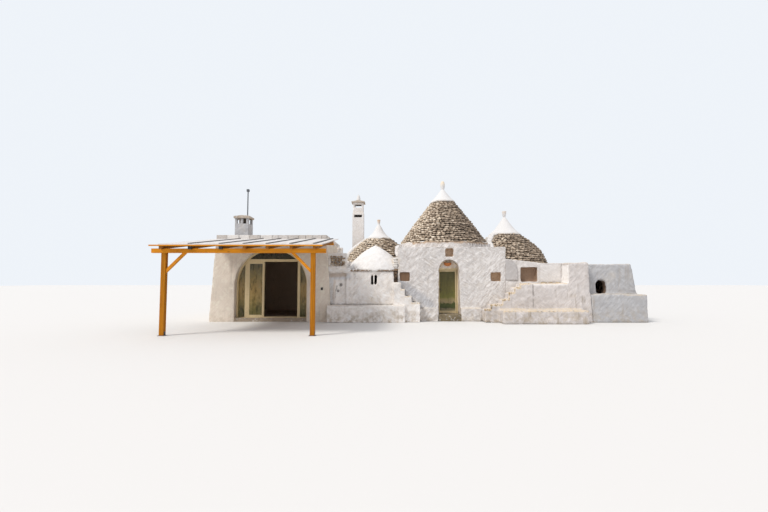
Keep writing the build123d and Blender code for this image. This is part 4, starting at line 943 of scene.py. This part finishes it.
# Drips under the drum: place along the wall and length
DRIPS = ((0.98, 0.10), (1.12, 0.17), (1.20, 0.08), (1.33, 0.20), (1.46, 0.12), (1.60, 0.18), (1.74, 0.10),
         (1.83, 0.15))
BLOCK_TOP = 3.45
LEFT_BENCH_TOP = 0.56
RIGHT_STAIR_FOOT = 0.45
HALL_MARKS = [("inside", -9.75, -5.60, 0.16, 4.24, 0.0, 3.34, 1.0)]
# Brown marks in the niches and the door's reveal: partly the stone's colour, partly painted shade of the recess
MAIN_MARKS = [("recess_brown_and_shade", 1.75, 2.28, 0.03, 0.30, 1.66, 2.16, 1.0), ("recess_brown_and_shade", -0.20, 0.23, 0.03, 0.30, 2.74, 3.19, 0.9),
              ("recess_brown_and_shade", -0.55, 0.53, 0.05, 0.42, 0.0, 2.22, 0.40), ("ochre", -0.55, 0.53, 0.03, 0.42, 2.22, 2.74, 0.60),
              ("inside", -1.60, 1.79, 0.50, 4.10, 0.0, 3.17, 0.8)]
LEFT_MARKS = [("inside", -4.08, -2.14, 2.13, 4.07, 0.0, 2.70, 0.8), ("ochre", -2.45, -2.20, 0.0, 1.3, 0.0, 2.8, 0.8)]
WING_MARKS = [("recess_brown_and_shade", 3.05, 3.88, 0.03, 0.30, 1.64, 2.38, 1.0), ("fresh_lime_and_highlight", 3.95, 4.80, -0.10, 0.06, 1.70, 2.45, 0.35),
              ("inside", 2.06, 5.30, 2.50, 5.72, 0.0, 2.55, 0.8)]
END_MARKS = [("inside", 6.14, 7.36, 0.09, 2.22, 0.0, 2.24, 1.0), ("recess_brown_and_shade", 6.58, 6.80, -0.20, 0.20, 1.10, 1.84, 1.0)]
SHAFT_MARKS = [("soot", -4.42, -4.01, 3.65, 4.40, 5.10, 5.23, 0.9), ("soot", -4.36, -4.07, 3.80, 4.20, 5.0, 6.0, 0.7),
               ("ochre", -4.60, -3.80, 3.60, 4.40, 5.28, 5.46, 0.16)]
CELL_PITS = [((-4.706, -0.15, 1.563), 0.075, 0.07), ((-4.814, -0.15, 1.30), 0.055, 0.06)]


def main_lines():
    """Drips under the drum and a dark brown band where the cone sits on it, partly dirt and partly painted shade;
    painted shade by the left stair, and painted shadow and dirt beside its steps.
    """
    found = [("soot", x, BLOCK_TOP, x + 0.01, BLOCK_TOP - drop, 0.026, 0.55) for x, drop in DRIPS]
    found += [("ochre", -2.20, 2.0, -2.18, 2.7, 0.04, 0.35), ("ochre", 0.62, 0.55, 1.30, 0.56, 0.03, 0.35),
              ("recess_brown_and_shade", -1.5, BLOCK_TOP, 1.95, BLOCK_TOP, 0.045, 1.0), ("soot", -0.9, 3.455, 1.95, 3.455, 0.018, 0.40),
              ("shade", -2.10, 1.60, -0.85, 0.70, 0.20, 0.85), ("shade", -1.30, 0.62, -0.60, 0.60, 0.06, 0.6)]
    lower_tops = [top for x0, x1, top in LEFT_TREADS[1:]] + [LEFT_BENCH_TOP]
    for (x0, x1, top), below in zip(LEFT_TREADS, lower_tops):
        found += [("soot", x1 + 0.015, top - 0.05, x1 + 0.015, below + 0.02, 0.030, 0.80),
                  ("soot", x1, below + 0.01, x1 + 0.15, below + 0.01, 0.024, 0.60)]
    return found


def cell_lines():
    """Cracks round the link wall's holes and newer lime beside them; painted shadow under the lip, along the bench top
    and under the dome's end; painted shade with brown down the recess at the wall's left; and the left stair's worn
    edges.
    """
    found = [("soot", -4.86, 1.52, -4.90, 1.30, 0.022, 0.7), ("soot", -4.90, 1.30, -4.93, 0.95, 0.016, 0.30),
             ("soot", -5.15, 0.72, -2.45, 0.73, 0.024, 0.60), ("recess_brown_and_shade", -5.12, 1.97, -4.50, 1.99, 0.080, 0.55),
             ("shade", -5.15, 1.93, -4.40, 1.93, 0.14, 0.9), ("shade", -5.12, 1.80, -5.06, 0.80, 0.10, 0.8),
             ("recess_brown_and_shade", -4.60, 2.12, -4.30, 2.16, 0.05, 0.35), ("recess_brown_and_shade", -4.97, 1.75, -5.00, 0.82, 0.045, 0.30),
             ("fresh_lime_and_highlight", -4.41, 1.78, -4.40, 0.84, 0.050, 0.55), ("fresh_lime_and_highlight", -4.85, 1.66, -4.62, 1.66, 0.050, 0.50)]
    return found + [("ochre", x0, top - 0.02, x1, top - 0.02, 0.03, 0.7) for x0, x1, top in LEFT_TREADS]


def wing_lines():
    """Dark lines on the wing's upper wall under the blind panel, at its right side and round its head: painted shadow
    of the panel's edges.
    """
    found = [("soot", 2.50, 1.755, 2.98, 1.755, 0.022, 0.6), ("soot", 2.97, 1.77, 2.97, 2.20, 0.018, 0.22)]
    x, z, radius, steps = 2.49, 2.17, 0.48, 6
    for k in range(steps):
        a0, a1 = pi / 2 * k / steps, pi / 2 * (k + 1) / steps
        found.append(("soot", x + radius * cos(a0), z + radius * sin(a0),
                      x + radius * cos(a1), z + radius * sin(a1), 0.020, 0.45))
    return found


def terrace_lines():
    """Worn, yellow stone along the right stair and its bench, cracks, and a newly limed edge."""
    found = []
    below = RIGHT_STAIR_FOOT
    for x0, x1, top in RIGHT_TREADS:
        found += [("ochre", x0, top - 0.02, x1, top - 0.02, 0.035, 0.9), ("ochre", x0, below, x0, top, 0.030, 0.8)]
        below = top
    return found + [("soot", 3.385, 1.58, 3.395, 1.10, 0.020, 0.75), ("soot", 3.395, 1.10, 3.38, 0.62, 0.014, 0.55),
                    ("ochre", 1.98, 0.53, 5.35, 0.53, 0.035, 0.75), ("fresh_lime_and_highlight", 3.44, 1.575, 4.80, 1.575, 0.035, 0.60),
                    ("ochre", 3.3, 1.61, 4.8, 1.61, 0.022, 0.45)]


END_LINES = [("soot", 6.12, 1.17, 7.95, 1.17, 0.020, 0.55), ("ochre", 7.2, 1.15, 8.1, 1.15, 0.03, 0.5)]


def make_masonry():
    """Plaster skins over walls, roofs, benches, stairs and chimneys."""
    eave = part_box("cell_roof")[0].z
    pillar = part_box("wing_pillar")[0].x
    # A pale band on the wing pillar's left face: painted highlight where the sun falls on it
    pillar_highlight = [("fresh_lime_and_highlight", pillar - 0.05, pillar + 0.03, -0.64, 0.05, 1.66, 2.40, 0.85)]
    edge_stone = {"slot": "edge_stone"}
    # Name, solids, voxel, rounds of smoothing, lumps, finish and the rest of what plaster_skin takes
    skins = (
        ("hall_skin", "hall_front_piers hall_front_arch hall_side_walls hall_back_wall hall_roof",
         0.05, 1, (0.007, 0.003, 0.002), LIME_HALL, {"marks": HALL_MARKS}),
        ("main_skin", "main_front_piers main_front_arch main_side_walls main_back_wall main_drum",
         0.045, 1, (0.016, 0.012, 0.016), LIME, {"marks": MAIN_MARKS, "lines": main_lines()}),
        ("left_room_skin", "left_room_walls", 0.06, 1, (0.015, 0.010, 0.006), LIME_GREY, {"marks": LEFT_MARKS}),
        ("front_left_skin", "link_wall cell_walls left_bench left_stair",
         0.036, 2, (0.020, 0.012, 0.008), LIME_GREY, {"lines": cell_lines(), "pits": CELL_PITS}),
        ("cell_roof_skin", "cell_roof", 0.032, 1, (0.014, 0.008, 0.003), LIME_DOME,
         {"sag": (eave, 0.26, 0.060), "swell": 0.060}),
        ("wing_skin", "wing_front_wall wing_room_walls wing_roof",
         0.045, 1, (0.014, 0.010, 0.007), LIME_WING, {"marks": WING_MARKS, "lines": wing_lines()}),
        ("terrace_skin", "wing_terrace wing_stair wing_pillar right_bench",
         0.042, 6, (0.018, 0.014, 0.010), LIME_WORN, {"marks": pillar_highlight, "lines": terrace_lines()}),
        ("end_room_skin", "end_room_walls end_room_roof end_ledge",
         0.040, 12, (0.024, 0.012, 0.008), LIME_SHADED, {"marks": END_MARKS, "lines": END_LINES}),
        ("tall_chimney_skin", "tall_chimney", 0.024, 1, (0.006, 0.003, 0.002), LIME_PLAIN, {"marks": SHAFT_MARKS}),
        ("hall_chimney_skin", "hall_chimney", 0.022, 1, (0.006, 0.003, 0.002), LIME_SHADED, {}),
        ("upper_panel_skin", "upper_door_panel", 0.013, 1, (0.002, 0.001, 0.001), LIME_PANEL_SHADED, {}),
        ("door_stone_skin", "door_stone", 0.026, 2, (0.015, 0.010, 0.0), DOORSTEP, {"slot": "floor_stone"}),
        ("cornice_skin", "cell_cornice", 0.016, 1, (0.008, 0.008, 0.0), CORNICE_STONE, edge_stone),
        ("tall_cap_skin", "tall_chimney_cap", 0.012, 1, (0.004, 0.003, 0.0), SLAB_STONE, edge_stone),
    )
    for name, members, voxel, rounds, lumps, material, rest in skins:
        plaster_skin(name, members.split(), voxel, rounds, lumps, material, **rest)


def make_chimney_tops():
    """The egg on the tall chimney; the hall chimney's dark flue and the slab over it."""
    low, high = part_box("tall_chimney_cap")
    wide, tall, foot = 0.102, 0.285, high.z - 0.29
    outline = [(0.095, high.z - 0.31), (wide, foot)]
    for k in range(1, 10):
        turn = k * 0.157
        outline.append((wide * cos(turn) ** 0.8, foot + tall * sin(turn) ** 1.25))
    middle = ((low.x + high.x) / 2, (low.y + high.y) / 2)
    turned("tall_finial", middle, outline, LIME_DOME, sides=20, lumps=0.003)
    low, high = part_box("hall_chimney")
    inset = 0.17
    flue = (low.x + inset, high.x - inset, low.y + inset, high.y - inset, high.z - 0.42, high.z + 0.01)
    joined_boxes("hall_flue", [flue], FLUE, 0.01)
    slab = ["hall_chimney_slab"]
    plaster_skin("hall_slab_skin", slab, 0.018, 1, (0.010, 0.008, 0.0), SLAB_STONE, "edge_stone")


# Bare stones. One set of dice goes through all four functions, in this order.

def make_parapet(dice):
    """The blocks round the hall's roof."""
    low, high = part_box("hall_parapet")
    wide = 0.30
    # Start, stop, outer edge, and whether the side runs into the house
    sides = ((low.x, high.x, low.y, False), (low.x, high.x, high.y - wide, False),
             (low.y + wide, high.y - wide, low.x, True), (low.y + wide, high.y - wide, high.x - wide, True))
    stones = []
    for start, stop, edge, inward in sides:
        at = start
        while at < stop - 0.12:
            length = min(dice.uniform(0.26, 0.52), stop - at)
            centre = [at + length / 2, edge + wide / 2, (low.z + high.z) / 2 - 0.004]
            half = [length / 2 * 0.99, wide / 2 * 0.99, (high.z - low.z) / 2 * dice.uniform(0.95, 0.99)]
            if inward:
                centre[:2] = centre[1::-1]
                half[:2] = half[1::-1]
            turn = (0, 0, dice.uniform(-0.01, 0.01))
            stones.append((centre, turn, half, dice.uniform(0.35, 1.0), dice.choice((0.0, 0.7))))
            at += length
    blocks = stone_heap("parapet_blocks", stones, PALE_STONE, rough=0.012, square=0.985, joint=0.45)
    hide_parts("hall_parapet")
    soften(blocks, 0.012, 1)


PATCH_BOTTOM, PATCH_TOP, PATCH_LEFT, PATCH_RIGHT, PATCH_Y = 2.36, 2.79, -5.15, -4.66, -0.106
NOOK_BOTTOM, NOOK_TOP, NOOK_X, NOOK_Y = 0.4, 2.72, -2.33, 0.13
NOOK_LIMED = 2.22       # the nook's stones are mostly limed from this height up


def make_patches(dice):
    """The rubble patch over the link wall, and the column of stones in the nook."""
    stones = []
    z = PATCH_BOTTOM
    while z < PATCH_TOP:
        tall = dice.uniform(0.055, 0.105)
        x = PATCH_LEFT + dice.uniform(-0.03, 0.03)
        while x < PATCH_RIGHT:
            long = dice.uniform(0.09, 0.24)
            centre = (x + long / 2, PATCH_Y + dice.uniform(-0.012, 0.014), z + tall / 2)
            half = (long / 2 * 0.96, 0.10, tall / 2 * 0.96)
            turn = (dice.uniform(-0.06, 0.06), dice.uniform(-0.10, 0.10), dice.uniform(-0.1, 0.1))
            stones.append((centre, turn, half, dice.uniform(0.45, 1.0), 0.0))
            x += long
        z += tall
    z = NOOK_BOTTOM
    while z < NOOK_TOP:
        tall = dice.uniform(0.07, 0.15)
        centre = (NOOK_X + dice.uniform(-0.02, 0.02), NOOK_Y + dice.uniform(-0.02, 0.03), z + tall / 2)
        if z > NOOK_LIMED:
            tone, lime = dice.uniform(0.3, 1.0), float(dice.uniform() < 0.85)
        else:
            tone, lime = dice.uniform(0.0, 0.5), 0.0
        turn = (dice.uniform(-0.1, 0.1), dice.uniform(-0.15, 0.15), 0)
        stones.append((centre, turn, (0.11, 0.10, tall / 2 * 0.96), tone, lime))
        z += tall
    stone_heap("rubble_patches", stones, BROWN_STONE, rough=0.16)


def loose(dice, x, y, z, size, lime=0.0):
    """One loose stone. y and z are a place, or a place and the least and most that it drifts."""
    y, z = (at[0] + dice.uniform(*at[1:]) if isinstance(at, tuple) else at for at in (y, z))
    turn = tuple(dice.uniform(-0.5, 0.5, 3))
    half = tuple(size * dice.uniform(0.6, 1.25, 3))
    return ((x, y, z), turn, half, dice.uniform(0.1, 1.0), lime)


def row(dice, start, stop, step, share, *stone):
    """A row of loose stones along the front, of which a share is laid."""
    return [loose(dice, x, *stone) for x in np.arange(start, stop, step) if dice.uniform() < share]


RIGHT_STAIR_FACE, LEFT_STAIR_FACE = -0.625, -0.49
TERRACE_EDGE, TERRACE_TOP = -0.03, 1.63
BENCH_EDGE, BENCH_TOP = -1.285, 0.532
EAVE_FACE = -0.235


def make_worn_edges(dice):
    """Loose stones along the stairs, the terrace and the right bench."""
    stones = []
    below = 0.50
    for x0, x1, top in RIGHT_TREADS:
        face = (RIGHT_STAIR_FACE, -0.01, 0.02)
        stones += row(dice, x0 + 0.03, x1, 0.085, 0.72, face, top - 0.022, 0.034)
        for z in np.arange(below + 0.04, top - 0.03, 0.08):
            if dice.uniform() < 0.62:
                stones.append(loose(dice, x0 + 0.022, RIGHT_STAIR_FACE, z, 0.031))
        below = top
    for x0, x1, top in LEFT_TREADS:
        face = (LEFT_STAIR_FACE, -0.02, 0.02)
        stones += row(dice, x0 + 0.03, x1, 0.10, 0.55, face, top - 0.02, 0.032, 0.4)
    for x in np.arange(3.90, 4.84, 0.060):
        y = TERRACE_EDGE - dice.uniform(0.0, 0.12)
        stones.append(loose(dice, x, y, TERRACE_TOP, dice.uniform(0.022, 0.045)))
    stones += row(dice, 2.02, 5.36, 0.16, 0.45, BENCH_EDGE, BENCH_TOP, 0.028, 0.5)
    stone_heap("worn_edges", stones, OCHRE_STONE, rough=0.20)


def make_eave_lumps(dice):
    """Limed lumps along the cell's eave and over the link wall's lip."""
    stones = row(dice, -4.42, -2.50, 0.13, 0.6, EAVE_FACE, (2.205, -0.01, 0.02), 0.038, 1.0)
    for x in np.arange(-5.15, -4.50, 0.11):
        stones.append(loose(dice, x, (-0.215, 0, 0.04), (2.22, -0.05, 0.10), 0.060, 0.9))
    stone_heap("eave_lumps", stones, PALE_STONE, rough=0.18)


def make_rubble():
    """Bare stones on the parapet, the patch, the nook, the worn edges and the eave."""
    dice = np.random.default_rng(21)
    for make in (make_parapet, make_patches, make_worn_edges, make_eave_lumps):
        make(dice)


# Pergola and fittings

RAFTERS = (-9.96, -9.03, -8.05, -7.29, -6.56, -5.80, -5.055)
POSTS = (-9.91, -5.12)
POST_HALF = 0.0725
SHEET_THICK = 0.03


def make_pergola():
    """Seam strips over the sheet, boards under it, dark hangers and post shoes."""
    low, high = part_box("pergola_roof")
    slope = (high.z - SHEET_THICK - low.z) / (high.y - low.y)

    def on_sheet(x, y, lift):
        """A corner at a height over the sheet's upper face."""
        return x, y, low.z + SHEET_THICK + (y - low.y) * slope + lift

    seams = [(x - 0.046, x + 0.046, low.y + 0.01, high.y - 0.01, -0.004, 0.026) for x in RAFTERS[1:]]
    joined_boxes("roof_seams", seams, SEAM, 0.003, segments=1, move=on_sheet)
    dice = np.random.default_rng(3)
    lining = []
    for left, right in zip(RAFTERS, RAFTERS[1:]):
        y = low.y + 0.17
        while y < high.y - 0.16:
            wide = dice.uniform(0.085, 0.125)
            under = -SHEET_THICK - 0.016 - dice.uniform(0, 0.003)
            lining.append((left + 0.050, right - 0.050, y, y + wide - 0.008, under, -SHEET_THICK - 0.002))
            y += wide
    joined_boxes("roof_lining", lining, LINING, 0.002, segments=1, move=on_sheet)
    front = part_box("pergola_rafters")[0]
    hangers = [(x - 0.052, x + 0.052, front.y - 0.006, front.y + 0.10, front.z + 0.004, front.z + 0.150)
               for x in RAFTERS[1:3]]
    joined_boxes("rafter_hangers", hangers, DARK_STEEL, 0.003)
    shoes = []
    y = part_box("pergola_posts")[0].y + POST_HALF
    for x in POSTS:
        shoes.append((x - 0.11, x + 0.11, y - 0.11, y + 0.11, 0.0, 0.010))
        for side in (-1, 1):
            plate, bolt = x + side * 0.0765, x + side * 0.083
            shoes.append((plate - 0.004, plate + 0.004, y - 0.045, y + 0.045, 0.0, 0.13))
            shoes.append((bolt - 0.006, bolt + 0.006, y - 0.012, y + 0.012, 0.078, 0.102))
    joined_boxes("post_shoes", shoes, STEEL, 0.002)


LAMP_ROWS = 10          # rows of the lamp's outside; the inside's rows follow
LAMP_INSIDE = [(0.93, 0.0), (0.86, -0.25), (0.70, -0.50), (0.40, -0.68)]
LAMP_POINTS = 17


def make_lamp():
    """The half-bowl lamp over the door: an open clay bowl, flat at its back."""
    low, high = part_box("wall_lamp")
    wide, deep, tall = (high.x - low.x) / 2, high.y - low.y, high.z - low.z
    middle = (low.x + high.x) / 2
    rows = [(sin(k * pi / 20), -cos(k * pi / 20)) for k in range(1, LAMP_ROWS + 1)]
    rows += LAMP_INSIDE
    turns = [pi + pi * k / (LAMP_POINTS - 1) for k in range(LAMP_POINTS)]
    points = [(middle + wide * reach * cos(t), high.y + deep * reach * sin(t), high.z + tall * drop)
              for reach, drop in rows for t in turns]
    faces = ring_faces(len(rows), LAMP_POINTS, LAMP_ROWS - 1)
    bowl = add_piece("lamp_bowl", points, faces, CLAY)
    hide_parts("wall_lamp")


DOOR_HINGE = (0.392, 0.521)
DOOR_OPEN = radians(-6.0)


def make_fittings():
    """Door handle, a wall socket, the lamp, and the pull of the garden door."""
    def with_door(x, y, z):
        """A corner of the closed door's fittings, swung with the door to its place at rest."""
        c, s = cos(DOOR_OPEN), sin(DOOR_OPEN)
        x, y = x - DOOR_HINGE[0], y - DOOR_HINGE[1]
        return DOOR_HINGE[0] + x * c - y * s, DOOR_HINGE[1] + x * s + y * c, z

    handle = [(-0.352, -0.322, 0.454, 0.460, 1.20, 1.42), (-0.345, -0.330, 0.414, 0.458, 1.315, 1.330),
              (-0.345, -0.240, 0.412, 0.424, 1.313, 1.332)]
    joined_boxes("door_handle", handle, DARK_STEEL, 0.002, "front_door", move=with_door)
    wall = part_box("hall_front_piers")[0].y
    socket = [(-5.53, -5.44, wall - 0.035, wall + 0.02, 1.34, 1.45),
              (-5.52, -5.45, wall - 0.050, wall - 0.03, 1.36, 1.42)]
    joined_boxes("wall_socket", socket, DARK_STEEL, 0.006)
    make_lamp()
    low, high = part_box("garden_leaf_inner")
    pull = (high.x - 0.055, high.x - 0.025, low.y - 0.004, low.y + 0.002, 1.05, 1.30)
    joined_boxes("garden_pull", [pull], DARK_STEEL, 0.002, "garden_leaf_inner")


# Finishes on the solids that keep their shape: finish, bevel and nodes
PAINTS = (
    (TIMBER_Z, 0.008, "pergola_posts"),
    (TIMBER_X, 0.006, "pergola_braces"),
    (TIMBER_X, 0.008, "pergola_beam"),
    (TIMBER_Y_SHADED, 0.006, "pergola_rafters"),
    (TIMBER_X, 0.004, "pergola_boards"),
    (PANEL, 0.003, "pergola_roof"),
    (JOINERY, 0.004, "garden_door_frame garden_leaf_middle garden_leaf_inner door_frame door_leaf"),
    (GARDEN_PANE, 0.0, "garden_fixed_glass garden_glass_middle garden_glass_inner"),
    (DOOR_PANE, 0.0, "door_glass"),
    (FLOOR_STONE, 0.0, "hall_floor main_floor"),
    (SHUTTER, 0.003, "window_shutter"),
    (STEEL, 0.0, "aerial_mast"),
)


def make_finishes():
    """Timber, joinery, glass, floors and small fittings."""
    for material, bevel, names in PAINTS:
        for name in names.split():
            shown = nodes[name]
            shown.data.materials.clear()
            shown.data.materials.append(material)
            if bevel:
                soften(shown, bevel)


# Stage

FLOOR_SIZE = 120.0
FLOOR_HEIGHT = -0.001
SUN_AIM = (0.66, 0.46, -0.95)
EYE = (-2.84, -17.4, 1.77)
EYE_TILT = 3.43         # degrees upwards
SKY_LIGHT, SKY_LIGHT_STRENGTH = (0.93, 0.94, 1.0, 1.0), 0.80
SKY_SEEN, SKY_SEEN_STRENGTH = (0.86, 0.90, 0.95, 1.0), 1.0


def make_floor():
    """A pale floor under the object."""
    floor = bpy.data.meshes.new("floor")
    corners = [(x * FLOOR_SIZE, y * FLOOR_SIZE, FLOOR_HEIGHT) for x, y in ((-1, -1), (1, -1), (1, 1), (-1, 1))]
    floor.from_pydata(corners, [], [(0, 1, 2, 3)])
    floor.materials.append(Finish("pale_floor", 0.9, (0.72, 0.71, 0.69)).done())
    show("floor", floor)


def make_sky():
    """One sky that lights the object, and a paler one that the camera and the glass see."""
    world = bpy.data.worlds.new("sky")
    bpy.context.scene.world = world
    world.use_nodes = True
    tree = world.node_tree
    light, seen = tree.nodes["Background"], tree.nodes.new("ShaderNodeBackground")
    light.inputs["Color"].default_value = SKY_LIGHT
    light.inputs["Strength"].default_value = SKY_LIGHT_STRENGTH
    seen.inputs["Color"].default_value = SKY_SEEN
    seen.inputs["Strength"].default_value = SKY_SEEN_STRENGTH
    path = tree.nodes.new("ShaderNodeLightPath")
    either = tree.nodes.new("ShaderNodeMath")
    either.operation = "MAXIMUM"
    blend = tree.nodes.new("ShaderNodeMixShader")
    tree.links.new(path.outputs["Is Camera Ray"], either.inputs[0])
    tree.links.new(path.outputs["Is Glossy Ray"], either.inputs[1])
    for k, source in enumerate((either, light, seen)):
        tree.links.new(source.outputs[0], blend.inputs[k])
    tree.links.new(blend.outputs[0], tree.nodes["World Output"].inputs[0])


def make_stage():
    """Floor, sky, a sun from the upper left, and the camera."""
    scene = bpy.context.scene
    scene.view_settings.view_transform = "Standard"
    make_floor()
    make_sky()
    sun = bpy.data.lights.new("sun", "SUN")
    sun.energy = 2.3
    sun.angle = radians(16.0)
    sun.color = (1.0, 0.965, 0.91)
    show("sun", sun).rotation_euler = Vector(SUN_AIM).to_track_quat("-Z", "Y").to_euler()
    eye = bpy.data.cameras.new("camera")
    eye.lens = 18.75
    eye.sensor_width = 36.0
    eye.clip_end = 500.0
    camera = show("camera", eye)
    camera.location = EYE
    camera.rotation_euler = (radians(90 + EYE_TILT), 0, 0)
    scene.camera = camera


make_stage()
make_masonry()
make_chimney_tops()
make_rubble()
make_slabs()
make_ribs()
make_caps()
make_pergola()
make_fittings()
make_finishes()
